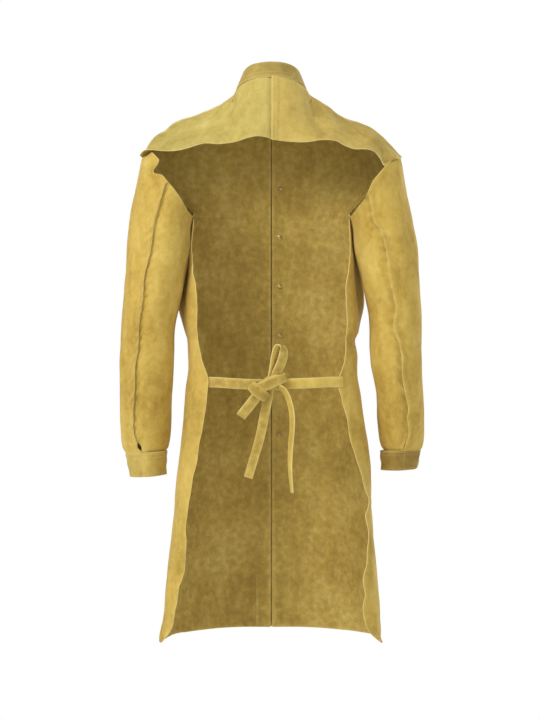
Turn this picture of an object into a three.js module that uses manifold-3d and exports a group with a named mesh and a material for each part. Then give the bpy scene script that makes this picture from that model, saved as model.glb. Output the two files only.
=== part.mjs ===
// Leather welding coat with an open back: front panels, back yoke, sleeves, collar and waist ties.
// Millimetres, +Z up. The wearer faces -Y and the wearer's left is +X.
// The origin is the middle of the hanger loop, on the face that a peg bears against.
import * as THREE from 'three';
import Module from 'manifold-3d';
import { mergeVertices } from 'three/addons/utils/BufferGeometryUtils.js';

const wasm = await Module();
wasm.setup();

// ---- driving sizes ----
const leather = 1.5;            // one layer of split leather
const liningLeather = 1.2;      // thinner layer inside the collar
const foldedLeather = 3.2;      // a tie: one strip folded lengthwise and stitched
const layerGap = 0.4;           // air between layers that lie on each other
const sewnGap = 1.2;            // each panel stops this far from the line it is sewn along
const armholeGap = 2;           // space across the armhole plane

const coatLength = 1136;        // back neck seam down to the hem
const armpitDrop = 278;
const ribDrop = 400;
const waistDrop = 560;
const hipDrop = 720;
const hemCorner = 60;           // height of the rounded corner at the hem

const armpitHalfWidth = 159;
const ribHalfWidth = 165;
const waistHalfWidth = 168;
const hipHalfWidth = 185;
const thighHalfWidth = 203;
const hemHalfWidth = 224;
const bodyMiddleY = -66;        // the side seam line, halfway between front and back
const bodyBackDepth = 98;       // from that line to the wearer's back
const chestDrop = 170;          // the front falls straight from here to the hem
const chestFrontY = -178;
const hemFrontY = -203;
const sectionPower = 2.3;       // how square the horizontal sections are, where 2 is an ellipse

const neckHalfWidth = 70;
const neckHalfDepth = 69;
const neckSideDrop = 25;
const neckFrontDrop = 70;
const collarHeight = 30;
const collarLean = 13;          // how far the collar's top edge leans in all round
const neckPointTurn = 95;       // degrees round the neck from the back to the shoulder seam

const shoulderHalfWidth = 264;
const shoulderDrop = 154;
const armholeHalfDepth = 77;
const yokeLength = 126;         // neck seam to the yoke's lower edge at the middle
const yokeBackY = 33;
const yokeTurn = 40;            // degrees of the armhole, from its top, that the yoke is sewn to

const sleeveDrop = 757;         // neck level down to the cuff seam
const sleeveSeamTurn = 74;      // degrees round the sleeve, from its outer side, of the back seam
const innerSeamTurn = 214;
const sleeveSeamGap = 0.7;      // degrees that each sleeve panel stops short of its seam

const cuffHeight = 36;
const cuffLeather = 2.4;
const cuffHalfWidth = 36;
const cuffHalfDepth = 43;
const cuffMiddleX = 253;
const cuffMiddleY = -101;
const cuffSlitTurn = 84;
const cuffTabRoot = 80;
const cuffTabEnd = 150;
const cuffTabSlant = 8;         // degrees more at the tab's lower corner than at its upper one
const patchHeight = 22;
const patchThickness = 0.6;
const patchFit = 0.5;           // room on each side of a patch

const frontOpening = 2;         // each front panel stops this far from the middle
const flapHalfWidth = 31;
const flapTopDrop = 100;
const flapGap = 3.4;            // room under the flap for the studs
const snapInset = 18;
const snapCount = 6;
const firstSnapDrop = 210;
const lastSnapDrop = 720;
const snapCapRadius = 6.5;
const snapFlangeRadius = 5;
const snapPostRadius = 1.8;
const snapFlange = 0.6;
const snapFit = 0.4;

const loopHalfLength = 31;      // hanger loop
const loopWidth = 8;
const loopThickness = 1.5;
const pegRoom = 5;              // depth behind the loop, at its ends

const tieWidth = 20;
const tieDrop = 610;
const tieOverlap = 26;          // length of tie stitched down on the panel
const bulkKnot = new THREE.Vector3(31, 14, 13);

// ---- materials ----
const hide = new THREE.MeshStandardMaterial({ color: 0xcdae5c, roughness: 0.95, metalness: 0 });
const paleHide = new THREE.MeshStandardMaterial({ color: 0xc8b76b, roughness: 0.95, metalness: 0 });
const liningHide = new THREE.MeshStandardMaterial({ color: 0xb2a05a, roughness: 0.95, metalness: 0 });
const brass = new THREE.MeshStandardMaterial({ color: 0x9a8758, roughness: 0.35, metalness: 1 });
const pile = new THREE.MeshStandardMaterial({ color: 0x2b2a27, roughness: 1, metalness: 0 });

const coat = new THREE.Group();

// ---- small tools ----
const lerp = THREE.MathUtils.lerp;
const radians = THREE.MathUtils.degToRad;
const point = (x, y, z) => new THREE.Vector3(x, y, z);
const outY = point(0, 1, 0);

function addPiece(name, geometry, material) {
  const mesh = new THREE.Mesh(geometry, material);
  mesh.name = name;
  coat.add(mesh);
}

// A smooth curve of one value through stations [place, value], places falling.
function profile(stations) {
  const slope = stations.map((_, i) => {
    const before = stations[Math.max(i - 1, 0)];
    const after = stations[Math.min(i + 1, stations.length - 1)];
    return (after[1] - before[1]) / (after[0] - before[0]);
  });
  return (place) => {
    let i = 0;
    while (i < stations.length - 2 && place < stations[i + 1][0]) i += 1;
    const [p0, v0] = stations[i];
    const [p1, v1] = stations[i + 1];
    const span = p1 - p0;
    const t = THREE.MathUtils.clamp((place - p0) / span, 0, 1);
    const rise = (1 - t) ** 2 * t * slope[i] * span - t * t * (1 - t) * slope[i + 1] * span;
    return v0 * (1 + 2 * t) * (1 - t) ** 2 + v1 * t * t * (3 - 2 * t) + rise;
  };
}

// The value between low and high at which a rising function reaches the target.
function solve(rising, low, high, target) {
  for (let step = 0; step < 30; step += 1) {
    const middle = (low + high) / 2;
    if (rising(middle) < target) low = middle;
    else high = middle;
  }
  return (low + high) / 2;
}

function normalOf(surface, u, v) {
  const step = 1e-3;
  const alongU = surface(u + step, v).sub(surface(u - step, v));
  const alongV = surface(u, v + step).sub(surface(u, v - step));
  return alongU.cross(alongV).normalize();
}

// The same surface moved along its normal, away from the point that inside() gives.
function moved(surface, distance, inside) {
  return (u, v) => {
    const place = surface(u, v);
    const normal = normalOf(surface, u, v);
    const outward = place.clone().sub(inside(place)).dot(normal) < 0 ? -1 : 1;
    return place.addScaledVector(normal, outward * distance);
  };
}

function turnOutward(geometry) {
  const p = geometry.getAttribute('position');
  const index = geometry.getIndex();
  const a = point(0, 0, 0);
  const b = point(0, 0, 0);
  const c = point(0, 0, 0);
  let volume = 0;
  for (let i = 0; i < index.count; i += 3) {
    a.fromBufferAttribute(p, index.getX(i));
    b.fromBufferAttribute(p, index.getX(i + 1));
    c.fromBufferAttribute(p, index.getX(i + 2));
    volume += a.dot(b.cross(c));
  }
  if (volume > 0) return geometry;
  for (let i = 0; i < index.count; i += 3) {
    const first = index.getX(i);
    index.setX(i, index.getX(i + 2));
    index.setX(i + 2, first);
  }
  return geometry;
}

// A closed solid of even thickness about a surface, over a grid of its u and v.
function sheet(surface, thickness, us, vs) {
  const rows = vs.map((v) => us.map((u) => surface(u, v)));
  const lastU = us.length - 1;
  const lastV = vs.length - 1;
  const positions = [[], []];
  rows.forEach((row, j) => row.forEach((place, i) => {
    const alongU = row[Math.min(i + 1, lastU)].clone().sub(row[Math.max(i - 1, 0)]);
    const alongV = rows[Math.min(j + 1, lastV)][i].clone().sub(rows[Math.max(j - 1, 0)][i]);
    const half = alongU.cross(alongV).normalize().multiplyScalar(thickness / 2);
    positions[0].push(...place.clone().add(half).toArray());
    positions[1].push(...place.clone().sub(half).toArray());
  }));
  const width = us.length;
  const layer = width * vs.length;
  const index = [];
  const quad = (a, b, c, d) => index.push(a, b, c, a, c, d);
  for (let j = 0; j < lastV; j += 1) {
    for (let i = 0; i < lastU; i += 1) {
      const k = j * width + i;
      quad(k, k + 1, k + 1 + width, k + width);
      quad(layer + k, layer + k + width, layer + k + 1 + width, layer + k + 1);
    }
  }
  for (let i = 0; i < lastU; i += 1) {
    const top = lastV * width + i;
    quad(i + 1, i, layer + i, layer + i + 1);
    quad(top, top + 1, layer + top + 1, layer + top);
  }
  for (let j = 0; j < lastV; j += 1) {
    const k = j * width;
    quad(k, k + width, layer + k + width, layer + k);
    quad(k + lastU + width, k + lastU, layer + k + lastU, layer + k + lastU + width);
  }
  const geometry = new THREE.BufferGeometry();
  geometry.setAttribute('position', new THREE.Float32BufferAttribute(positions.flat(), 3));
  geometry.setIndex(index);
  return turnOutward(geometry);
}

const steps = (from, to, count) => Array.from({ length: count + 1 }, (_, i) => lerp(from, to, i / count));

// A surface spanned between four edges: top and bottom run along u, start and end along v.
function spanned(top, bottom, start, end) {
  const corner = [top(0), top(1), bottom(0), bottom(1)];
  return (u, v) => {
    const across = top(u).multiplyScalar(1 - v).addScaledVector(bottom(u), v);
    const down = start(v).multiplyScalar(1 - u).addScaledVector(end(v), u);
    const weight = [(1 - u) * (1 - v), u * (1 - v), (1 - u) * v, u * v];
    corner.forEach((place, i) => across.addScaledVector(place, -weight[i]));
    return across.add(down);
  };
}

function toManifold(geometry) {
  const plain = geometry.clone();
  plain.deleteAttribute('normal');
  plain.deleteAttribute('uv');
  const merged = mergeVertices(plain, 1e-4);
  const vertProperties = new Float32Array(merged.getAttribute('position').array);
  const triVerts = new Uint32Array(merged.getIndex().array);
  return new wasm.Manifold(new wasm.Mesh({ numProp: 3, vertProperties, triVerts }));
}

function cut(geometry, tools) {
  let solid = toManifold(geometry);
  tools.forEach((tool) => {
    solid = solid.subtract(toManifold(tool));
  });
  const { vertProperties, triVerts } = solid.getMesh();
  const result = new THREE.BufferGeometry();
  result.setAttribute('position', new THREE.Float32BufferAttribute(vertProperties, 3));
  result.setIndex(Array.from(triVerts));
  return result;
}

// Moves a geometry built along +Y so that +Y points along the direction given.
function aimed(geometry, place, direction) {
  const turn = new THREE.Quaternion().setFromUnitVectors(outY, direction);
  return geometry.applyQuaternion(turn).translate(place.x, place.y, place.z);
}

const sideOf = (surface, side) => (u, v) => {
  const place = surface(u, v);
  place.x *= side;
  return place;
};

// ---- the shape that the coat hangs in ----
const armpitZ = -armpitDrop;
const hemZ = -coatLength;
const thighZ = (hemZ - hipDrop) / 2;
const cornerZ = hemZ + hemCorner;
const chestZ = -chestDrop;

const halfWidth = profile([
  [armpitZ, armpitHalfWidth],
  [-ribDrop, ribHalfWidth],
  [-waistDrop, waistHalfWidth],
  [-hipDrop, hipHalfWidth],
  [thighZ, thighHalfWidth],
  [hemZ, hemHalfWidth],
]);

// Degrees that each front panel reaches round behind the wearer's side.
const wrapTurn = profile([
  [armpitZ, 0],
  [-ribDrop, 24],
  [-waistDrop, 39],
  [-hipDrop, 40],
  [thighZ, 31],
  [cornerZ, 28],
  [hemZ + hemCorner / 3, 18],
  [hemZ, 4],
]);

const frontY = (z) => lerp(chestFrontY, hemFrontY, (chestZ - z) / (chestZ - hemZ));

// A point on the horizontal section at z, turned in degrees from the middle of the front.
function section(z, turn) {
  const power = 2 / sectionPower;
  const out = Math.sin(radians(turn)) ** power;
  const along = Math.cos(radians(turn));
  const depth = along > 0 ? frontY(z) - bodyMiddleY : bodyBackDepth;
  return point(halfWidth(z) * out, bodyMiddleY + depth * Math.abs(along) ** power, z);
}

// The neck's back stands behind the origin by the loop's room and the neck's own curve at the loop's ends.
const neckCurve = neckHalfDepth * (1 - Math.sqrt(1 - (loopHalfLength / neckHalfWidth) ** 2));
const neckBackY = pegRoom + neckCurve + liningLeather + 2 * layerGap;

function neck(turn) {
  const back = Math.cos(radians(turn));
  const tilt = neckFrontDrop / 2;
  const z = -neckSideDrop + tilt * back + (neckSideDrop - tilt) * back * back;
  const y = neckBackY - neckHalfDepth + neckHalfDepth * back;
  return point(neckHalfWidth * Math.sin(radians(turn)), y, z);
}

// The armhole lies in one plane, from the armpit up and out to the shoulder tip.
const armpit = point(armpitHalfWidth, bodyMiddleY, armpitZ);
const shoulderTip = point(shoulderHalfWidth, bodyMiddleY, -shoulderDrop);
const armholeMiddle = armpit.clone().lerp(shoulderTip, 0.5);
const armholeUp = shoulderTip.clone().sub(armpit).normalize();
const armholeRadius = armpit.distanceTo(shoulderTip) / 2;
const armholeAxis = armholeUp.clone().cross(outY);

// Degrees from the shoulder tip, first towards the wearer's front.
function armhole(turn) {
  const up = armholeRadius * Math.cos(radians(turn));
  const forward = armholeHalfDepth * Math.sin(radians(turn));
  return armholeMiddle.clone().addScaledVector(armholeUp, up).addScaledVector(outY, -forward);
}

const neckPoint = neck(neckPointTurn);
// Each stop is how far out and how far down the shoulder line is, as parts of the whole.
const shoulderStops = [[0.18, 0.19], [0.41, 0.34], [0.63, 0.46], [0.87, 0.7], [0.96, 0.88]];
const shoulderLine = new THREE.CatmullRomCurve3([
  neckPoint,
  ...shoulderStops.map(([out, down]) => point(
    lerp(neckPoint.x, shoulderTip.x, out),
    lerp(neckPoint.y, shoulderTip.y, out),
    lerp(neckPoint.z, shoulderTip.z, down),
  )),
  shoulderTip,
]);

// From the neck's middle, front or back, round to the neck point and out to the shoulder tip.
function neckAndShoulder(startTurn, neckShare) {
  return (u) => (u < neckShare
    ? neck(lerp(startTurn, neckPointTurn, u / neckShare))
    : shoulderLine.getPointAt((u - neckShare) / (1 - neckShare)));
}

// ---- front panels ----
const frontNeckTurn = 178;
const frontNeckShare = 0.42;
const frontNeck = neck(frontNeckTurn);
const openTurn = (z) => THREE.MathUtils.radToDeg(Math.asin((frontOpening / halfWidth(z)) ** (sectionPower / 2)));
const panelRow = (z) => (u) => section(z, lerp(openTurn(z), 90 + wrapTurn(z), u));
const chestMiddle = new THREE.CatmullRomCurve3([
  frontNeck,
  point(frontOpening, lerp(frontNeck.y, chestFrontY, 0.72), lerp(frontNeck.z, chestZ, 0.45)),
  point(frontOpening, chestFrontY, chestZ),
  panelRow(armpitZ)(0),
]);
const chest = spanned(
  neckAndShoulder(frontNeckTurn, frontNeckShare),
  panelRow(armpitZ),
  (v) => chestMiddle.getPoint(v),
  (v) => armhole(180 * v),
);
// v runs from the neck (0) over the armpit (1) to the hem (2).
const frontPanel = (u, v) => (v < 1 ? chest(u, v) : panelRow(lerp(armpitZ, hemZ, v - 1))(u));
const bodyMiddle = (place) => point(0, bodyMiddleY, place.z - 20);

// The front's surface at a distance x from the middle, on the row v.
const frontAt = (x, v) => frontPanel(solve((u) => frontPanel(u, v).x, 0, 0.5, Math.abs(x)), v);
const frontRowAt = (z) => solve((v) => -frontPanel(0, v).z, 0, 2, -z);

const snapDrops = steps(firstSnapDrop, lastSnapDrop, snapCount - 1);
const snapRows = snapDrops.map((drop) => frontRowAt(-drop));
const frontSurface = (x, v) => {
  const place = frontAt(Math.max(Math.abs(x), frontOpening), v);
  return point(x, place.y, place.z);
};
const flapOffset = leather + flapGap;
const flapSurface = moved(frontSurface, flapOffset, bodyMiddle);

function snapFrame(surface, x, v) {
  const place = surface(x, v);
  const normal = normalOf(surface, x, v);
  if (normal.y > 0) normal.negate();
  return { place, normal };
}

// A turned snap half along +Y: a flange behind its layer, a post through it and a head outside.
function snapHalf(layer, head) {
  const back = -(layer / 2 + snapFit);
  const face = layer / 2 + snapFit;
  const outline = [
    [0, back - snapFlange],
    [snapFlangeRadius, back - snapFlange],
    [snapFlangeRadius, back],
    [snapPostRadius, back],
    [snapPostRadius, face],
    ...head.map(([r, y]) => [r, face + y]),
  ];
  const lathe = new THREE.LatheGeometry(outline.map(([r, y]) => new THREE.Vector2(r, y)), 10);
  return lathe;
}

const studNub = flapGap - 2 * (snapFit + snapFlange) - snapFit;
const studHead = [
  [snapFlangeRadius, 0],
  [snapFlangeRadius, snapFlange],
  [snapPostRadius, snapFlange],
  [snapPostRadius, snapFlange + studNub],
  [0, snapFlange + studNub],
];
const capHead = [
  [snapCapRadius, 0],
  [snapCapRadius, snapFlange],
  [snapCapRadius * 0.8, snapFlange * 2.2],
  [snapCapRadius * 0.4, snapFlange * 2.8],
  [0, snapFlange * 3],
];

function postHole({ place, normal }) {
  const hole = new THREE.CylinderGeometry(snapPostRadius + snapFit, snapPostRadius + snapFit, 8, 10);
  return aimed(hole, place.clone(), normal);
}

// Columns are closest near the front edge, where the studs need a smooth seat.
const panelColumns = [0, 0.022, 0.055, 0.1, 0.17, 0.26, 0.36, 0.47, 0.59, 0.7, 0.79, 0.87, 0.94, 1];
const chestTop = sewnGap / armpit.distanceTo(neckPoint);
const panelRows = [
  ...steps(chestTop, 1, 10),
  ...steps(1, 2, 14).slice(1),
];
for (const [name, side] of [['left', 1], ['right', -1]]) {
  const plain = sheet(sideOf(frontPanel, side), leather, panelColumns, panelRows);
  const studs = snapRows.map((v) => snapFrame(frontSurface, -snapInset, v));
  const panel = side < 0 ? cut(plain, studs.map(postHole)) : plain;
  addPiece(`${name}_front_panel`, panel, hide);
}

const flapTopRow = frontRowAt(-flapTopDrop);
const flapRows = [...steps(flapTopRow, 1, 8), ...steps(1, 2, 12).slice(1)];
const flapColumns = steps(-flapHalfWidth, flapHalfWidth, 4);
const caps = snapRows.map((v) => snapFrame(flapSurface, -snapInset, v));
addPiece('front_flap', cut(sheet(flapSurface, leather, flapColumns, flapRows), caps.map(postHole)), hide);
snapRows.forEach((v, i) => {
  const stud = snapFrame(frontSurface, -snapInset, v);
  addPiece(`front_snap_stud_${i + 1}`, aimed(snapHalf(leather, studHead), stud.place, stud.normal), brass);
  const cap = caps[i];
  addPiece(`front_snap_cap_${i + 1}`, aimed(snapHalf(leather, capHead), cap.place.clone(), cap.normal), brass);
});

// ---- back yoke ----
const backNeckTurn = 0.6;
const backNeckShare = 0.34;
const yokeCorner = armhole(-yokeTurn);
const yokeFoot = point(neck(backNeckTurn).x, yokeBackY, -yokeLength);
const yokeEdge = new THREE.CatmullRomCurve3([
  yokeFoot,
  point(lerp(0, yokeCorner.x, 0.18), yokeBackY, -yokeLength - 2),
  point(lerp(0, yokeCorner.x, 0.5), lerp(yokeBackY, yokeCorner.y, 0.15), -yokeLength - 8),
  point(lerp(0, yokeCorner.x, 0.75), lerp(yokeBackY, yokeCorner.y, 0.45), -yokeLength - 23),
  yokeCorner,
]);
const backSeam = new THREE.QuadraticBezierCurve3(
  neck(backNeckTurn),
  point(neck(backNeckTurn).x, yokeBackY, -yokeLength / 2),
  yokeFoot,
);
const yoke = spanned(
  neckAndShoulder(backNeckTurn, backNeckShare),
  (u) => yokeEdge.getPointAt(u),
  (v) => backSeam.getPoint(v),
  (v) => armhole(-yokeTurn * v),
);
const yokeTop = sewnGap / yokeLength;
for (const [name, side] of [['left', 1], ['right', -1]]) {
  const solid = sheet(sideOf(yoke, side), leather, steps(0, 1, 14), steps(yokeTop, 1, 6));
  addPiece(`${name}_back_yoke`, solid, paleHide);
}

// ---- collar: an outer and an inner layer, open at the throat and closed by a tab ----
const collarEndTurn = 172;
const collarStart = sewnGap / collarHeight;
function collar(turn, rise) {
  const base = neck(turn);
  const inward = 1 - (collarLean / neckHalfWidth) * rise;
  const middleY = neckBackY - neckHalfDepth;
  return point(base.x * inward, middleY + (base.y - middleY) * inward, base.z + collarHeight * rise);
}
const collarTurns = steps(-collarEndTurn, collarEndTurn, 26);
const collarRises = steps(collarStart, 1, 2);
const neckMiddle = (place) => point(0, neckBackY - neckHalfDepth, place.z);
const collarShift = (leather + layerGap) / 2;
const collarOuter = moved(collar, collarShift, neckMiddle);
const collarInner = moved(collar, -(liningLeather + layerGap) / 2, neckMiddle);
const collarSnapTurn = 166;
const collarStud = snapFrame(collarOuter, -collarSnapTurn, 0.5);
addPiece('collar_outer', cut(sheet(collarOuter, leather, collarTurns, collarRises), [postHole(collarStud)]), paleHide);
addPiece('collar_lining', cut(sheet(collarInner, liningLeather, collarTurns, collarRises),
  [aimed(new THREE.CylinderGeometry(snapFlangeRadius + snapFit, snapFlangeRadius + snapFit, 8, 12),
    collarStud.place.clone().addScaledVector(collarStud.normal, -4.9), collarStud.normal)]), liningHide);
addPiece('collar_snap_stud', aimed(snapHalf(leather, studHead), collarStud.place.clone(), collarStud.normal), brass);

const collarTabSurface = moved(collarOuter, flapOffset, neckMiddle);
const collarTabTurns = steps(collarEndTurn - 4, 360 - collarSnapTurn + 8, 6);
const collarTab = sheet(collarTabSurface, leather, collarTabTurns, [0.16, 0.5, 0.84]);
const collarCap = snapFrame(collarTabSurface, 360 - collarSnapTurn, 0.5);
addPiece('collar_tab', cut(collarTab, [postHole(collarCap)]), paleHide);
addPiece('collar_snap_cap', aimed(snapHalf(leather, capHead), collarCap.place.clone(), collarCap.normal), brass);

// ---- hanger loop: a strip whose ends turn back to the collar lining ----
const loopSeat = moved(collar, -(liningLeather + 3 * layerGap), neckMiddle);
const neckTurn = solve((turn) => neck(turn).x, 0, 80, loopHalfLength);
const loopRise = (loopWidth / 2 - neck(neckTurn).z) / collarHeight;
const loopTurn = solve((turn) => loopSeat(turn, loopRise).x, 0, 80, loopHalfLength);
const loopEndY = loopSeat(loopTurn, loopRise).y;
const loopInside = loopHalfLength - loopThickness;
const loopOutline = [
  [-loopHalfLength, -loopThickness],
  [loopHalfLength, -loopThickness],
  [loopHalfLength, loopEndY],
  [loopInside, loopEndY],
  [loopInside, 0],
  [-loopInside, 0],
  [-loopInside, loopEndY],
  [-loopHalfLength, loopEndY],
];
const loopShape = new THREE.Shape(loopOutline.map(([x, y]) => new THREE.Vector2(x, y)));
const loop = new THREE.ExtrudeGeometry(loopShape, { depth: loopWidth, bevelEnabled: false });
addPiece('hanger_loop', loop.translate(0, 0, -loopWidth / 2), hide);

// ---- sleeves ----
const cuffTopZ = -sleeveDrop - 2;
const upperArmZ = lerp(armpitZ, -sleeveDrop, 0.3);
const elbowZ = lerp(armpitZ, -sleeveDrop, 0.62);
const forearmZ = lerp(armpitZ, -sleeveDrop, 0.85);
// Each stop: middle of the sleeve, half width and half depth.
const sleeveStops = [
  { t: 0, middle: armholeMiddle.clone().addScaledVector(armholeAxis, -armholeGap), wide: armholeRadius, deep: armholeHalfDepth },
  { t: 0.14, middle: point(224, -63, -290), wide: 66, deep: 76 },
  { t: 0.36, middle: point(237, -56, upperArmZ), wide: 58, deep: 70 },
  { t: 0.65, middle: point(251, -57, elbowZ), wide: 54, deep: 61 },
  { t: 0.86, middle: point(253, -81, forearmZ), wide: 49, deep: 53 },
  { t: 1, middle: point(cuffMiddleX, cuffMiddleY, -sleeveDrop), wide: cuffHalfWidth + 3, deep: cuffHalfDepth + 3 },
];
const sleeveProfile = (read) => {
  const curve = profile(sleeveStops.map((stop) => [-stop.t, read(stop)]));
  return (t) => curve(-t);
};
const sleeveX = sleeveProfile((stop) => stop.middle.x);
const sleeveY = sleeveProfile((stop) => stop.middle.y);
const sleeveZ = sleeveProfile((stop) => stop.middle.z);
const sleeveWide = sleeveProfile((stop) => stop.wide);
const sleeveDeep = sleeveProfile((stop) => stop.deep);
const acrossSleeve = (t) => armholeUp.clone().lerp(point(1, 0, 0), THREE.MathUtils.smoothstep(t, 0, 0.3)).normalize();
function sleeve(turn, t) {
  const out = sleeveWide(t) * Math.cos(radians(turn));
  const back = sleeveDeep(t) * Math.sin(radians(turn));
  return point(sleeveX(t), sleeveY(t) + back, sleeveZ(t)).addScaledVector(acrossSleeve(t), out);
}
const sleeveRows = [0, 0.05, 0.1, 0.16, 0.23, 0.31, 0.39, 0.47, 0.55, 0.63, 0.71, 0.79, 0.86, 0.93, 1];
const outerTurns = steps(innerSeamTurn - 360 + sleeveSeamGap, sleeveSeamTurn - sleeveSeamGap, 13);
const underTurns = steps(sleeveSeamTurn + sleeveSeamGap, innerSeamTurn - sleeveSeamGap, 9);

// ---- cuffs ----
function cuff(turn, drop) {
  const x = cuffMiddleX + cuffHalfWidth * Math.cos(radians(turn));
  return point(x, cuffMiddleY + cuffHalfDepth * Math.sin(radians(turn)), cuffTopZ - drop);
}
const cuffMiddle = (place) => point(cuffMiddleX, cuffMiddleY, place.z);
const patchRoom = 2 * patchThickness + 3 * patchFit;
const cuffTabSurface = moved(cuff, cuffLeather + patchRoom, cuffMiddle);
const slantedTab = (share, drop) => cuffTabSurface(
  lerp(cuffTabRoot, cuffTabEnd + (cuffTabSlant * drop) / cuffHeight, share),
  drop,
);
const patchTop = (cuffHeight - patchHeight) / 2;
const patchTurns = steps(cuffTabRoot + 22, cuffTabEnd - 6, 5);
const patchDrops = [patchTop, patchTop + patchHeight];
const loopPatch = moved(cuff, (cuffLeather + patchThickness) / 2 + patchFit, cuffMiddle);
const hookPatch = moved(cuff, (cuffLeather + patchThickness) / 2 + 2 * patchFit + patchThickness, cuffMiddle);

for (const [name, side] of [['left', 1], ['right', -1]]) {
  const mirrored = (surface) => sideOf(surface, side);
  addPiece(`${name}_sleeve_outer`, sheet(mirrored(sleeve), leather, outerTurns, sleeveRows), hide);
  addPiece(`${name}_sleeve_under`, sheet(mirrored(sleeve), leather, underTurns, sleeveRows), hide);
  const cuffTurns = steps(cuffSlitTurn - 358, cuffSlitTurn - 2, 24);
  addPiece(`${name}_cuff`, sheet(mirrored(cuff), cuffLeather, cuffTurns, [0, cuffHeight]), hide);
  const tab = sheet(mirrored(slantedTab), cuffLeather, steps(0, 1, 7), [0, cuffHeight]);
  addPiece(`${name}_cuff_tab`, tab, hide);
  addPiece(`${name}_loop_patch`, sheet(mirrored(loopPatch), patchThickness, patchTurns, patchDrops), pile);
  addPiece(`${name}_hook_patch`, sheet(mirrored(hookPatch), patchThickness, patchTurns, patchDrops), pile);
}

// ---- waist ties, tied in a bow behind the wearer ----
const knotPlace = point(6, 40, -tieDrop - 5);
const knotTilt = radians(-24);
function ellipsoid(half) {
  const ball = new THREE.SphereGeometry(1, 14, 10).scale(half.x, half.y, half.z);
  return ball.rotateY(-knotTilt).translate(knotPlace.x, knotPlace.y, knotPlace.z);
}
const knotRoom = ellipsoid(bulkKnot.clone().addScalar(0.6));
addPiece('bow_knot', ellipsoid(bulkKnot), hide);

// A strip along a line of points; facing gives the direction of its width at each end.
function strip(line, startWidth, endWidth, width) {
  const curve = new THREE.CatmullRomCurve3(line.map(([x, y, z]) => point(x, y, z)));
  return (u, v) => {
    const across = startWidth.clone().lerp(endWidth, v).normalize();
    return curve.getPointAt(THREE.MathUtils.clamp(v, 0, 1)).addScaledVector(across, (u - 0.5) * width);
  };
}

const upright = point(0, 0, 1);
const tieTurn = 90 + wrapTurn(-tieDrop);
const tieReach = tieOverlap / halfWidth(-tieDrop);
const tieLift = (leather + foldedLeather) / 2 + layerGap + 0.6;
function tie(u, v) {
  const turn = lerp(tieTurn - THREE.MathUtils.radToDeg(tieReach), 172, v);
  const z = -tieDrop - (u - 0.5) * tieWidth;
  const place = section(-tieDrop, turn);
  const lifted = section(-tieDrop, turn + 0.5).sub(section(-tieDrop, turn - 0.5)).cross(upright).normalize();
  return point(place.x, place.y, z).addScaledVector(lifted, tieLift);
}
for (const [name, side] of [['left', 1], ['right', -1]]) {
  const solid = sheet(sideOf(tie, side), foldedLeather, [0, 1], steps(0, 1, 14));
  addPiece(`${name}_waist_tie`, cut(solid, [knotRoom]), hide);
}

const upperLoopLine = [
  [4, 42, -606], [1, 43.5, -594], [-2, 45, -578], [-4.5, 46.5, -562], [-8, 48, -548], [-14, 49, -539.5],
  [-21, 48.5, -541], [-25.5, 47, -550], [-24.5, 46, -562], [-19, 45, -576], [-12, 44.5, -590], [-6, 43, -602],
];
const upperLoop = strip(upperLoopLine, point(0.5, 0.86, 0), point(0.8, 0.6, 0), tieWidth * 0.9);
addPiece('bow_upper_loop', cut(sheet(upperLoop, foldedLeather, [0, 1], steps(0, 1, 22)), [knotRoom]), hide);

const lowerLoopLine = [[22, 44, -626], [33, 46, -645], [46, 46, -662], [60, 45, -677]];
const lowerLoop = strip(lowerLoopLine, point(0.8, 0, 0.6), point(0.8, 0, 0.6), tieWidth * 0.9);
addPiece('bow_lower_loop', cut(sheet(lowerLoop, 2 * foldedLeather, [0, 1], steps(0, 1, 6)), [knotRoom]), hide);

const leftTailLine = [[6, 38, -624], [8, 38, -645], [15, 37, -680], [21, 36, -712], [32, 36, -752], [46, 36, -798]];
const leftTail = strip(leftTailLine, point(0.98, 0, 0.2), point(0.9, 0.3, 0.35), tieWidth * 0.9);
addPiece('left_tie_tail', cut(sheet(leftTail, foldedLeather, [0, 1], steps(0, 1, 12)), [knotRoom]), hide);

const rightTailLine = [
  [-14, 44, -622], [-25, 44, -626], [-34, 43, -643], [-40, 42, -668], [-41, 41, -700], [-38, 40, -735],
  [-38, 40, -768], [-39, 40, -800], [-41, 40, -829],
];
const rightTail = strip(rightTailLine, point(0.3, 0.9, 0.3), point(0.15, 0.98, 0), tieWidth * 0.9);
addPiece('right_tie_tail', cut(sheet(rightTail, foldedLeather, [0, 1], steps(0, 1, 16)), [knotRoom]), hide);

export default coat;
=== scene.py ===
"""Open-back leather welding coat, hanging as if worn: suede panels, stitched seams, snaps and a tied bow.

Sizes are millimetres and turns are degrees until a mesh is made. The wearer faces -Y, with their left at +X.
"""
import math

import bpy
import numpy as np
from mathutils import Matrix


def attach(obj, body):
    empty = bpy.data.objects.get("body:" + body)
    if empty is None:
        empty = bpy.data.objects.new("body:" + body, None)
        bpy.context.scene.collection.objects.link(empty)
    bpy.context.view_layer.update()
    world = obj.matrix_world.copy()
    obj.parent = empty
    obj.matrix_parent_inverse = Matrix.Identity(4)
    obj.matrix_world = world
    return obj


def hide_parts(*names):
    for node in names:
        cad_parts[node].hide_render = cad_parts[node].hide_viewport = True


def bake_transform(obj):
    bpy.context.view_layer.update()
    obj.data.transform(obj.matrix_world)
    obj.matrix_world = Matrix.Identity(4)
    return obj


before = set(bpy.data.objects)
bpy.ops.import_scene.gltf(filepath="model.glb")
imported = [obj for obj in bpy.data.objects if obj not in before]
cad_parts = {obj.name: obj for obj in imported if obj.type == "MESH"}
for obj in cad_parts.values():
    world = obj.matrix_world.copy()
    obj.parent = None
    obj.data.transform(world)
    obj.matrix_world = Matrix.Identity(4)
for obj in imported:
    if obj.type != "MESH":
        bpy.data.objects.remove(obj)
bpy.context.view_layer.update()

MM = 0.001
SIDES = {"left": 1, "right": -1}

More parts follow.
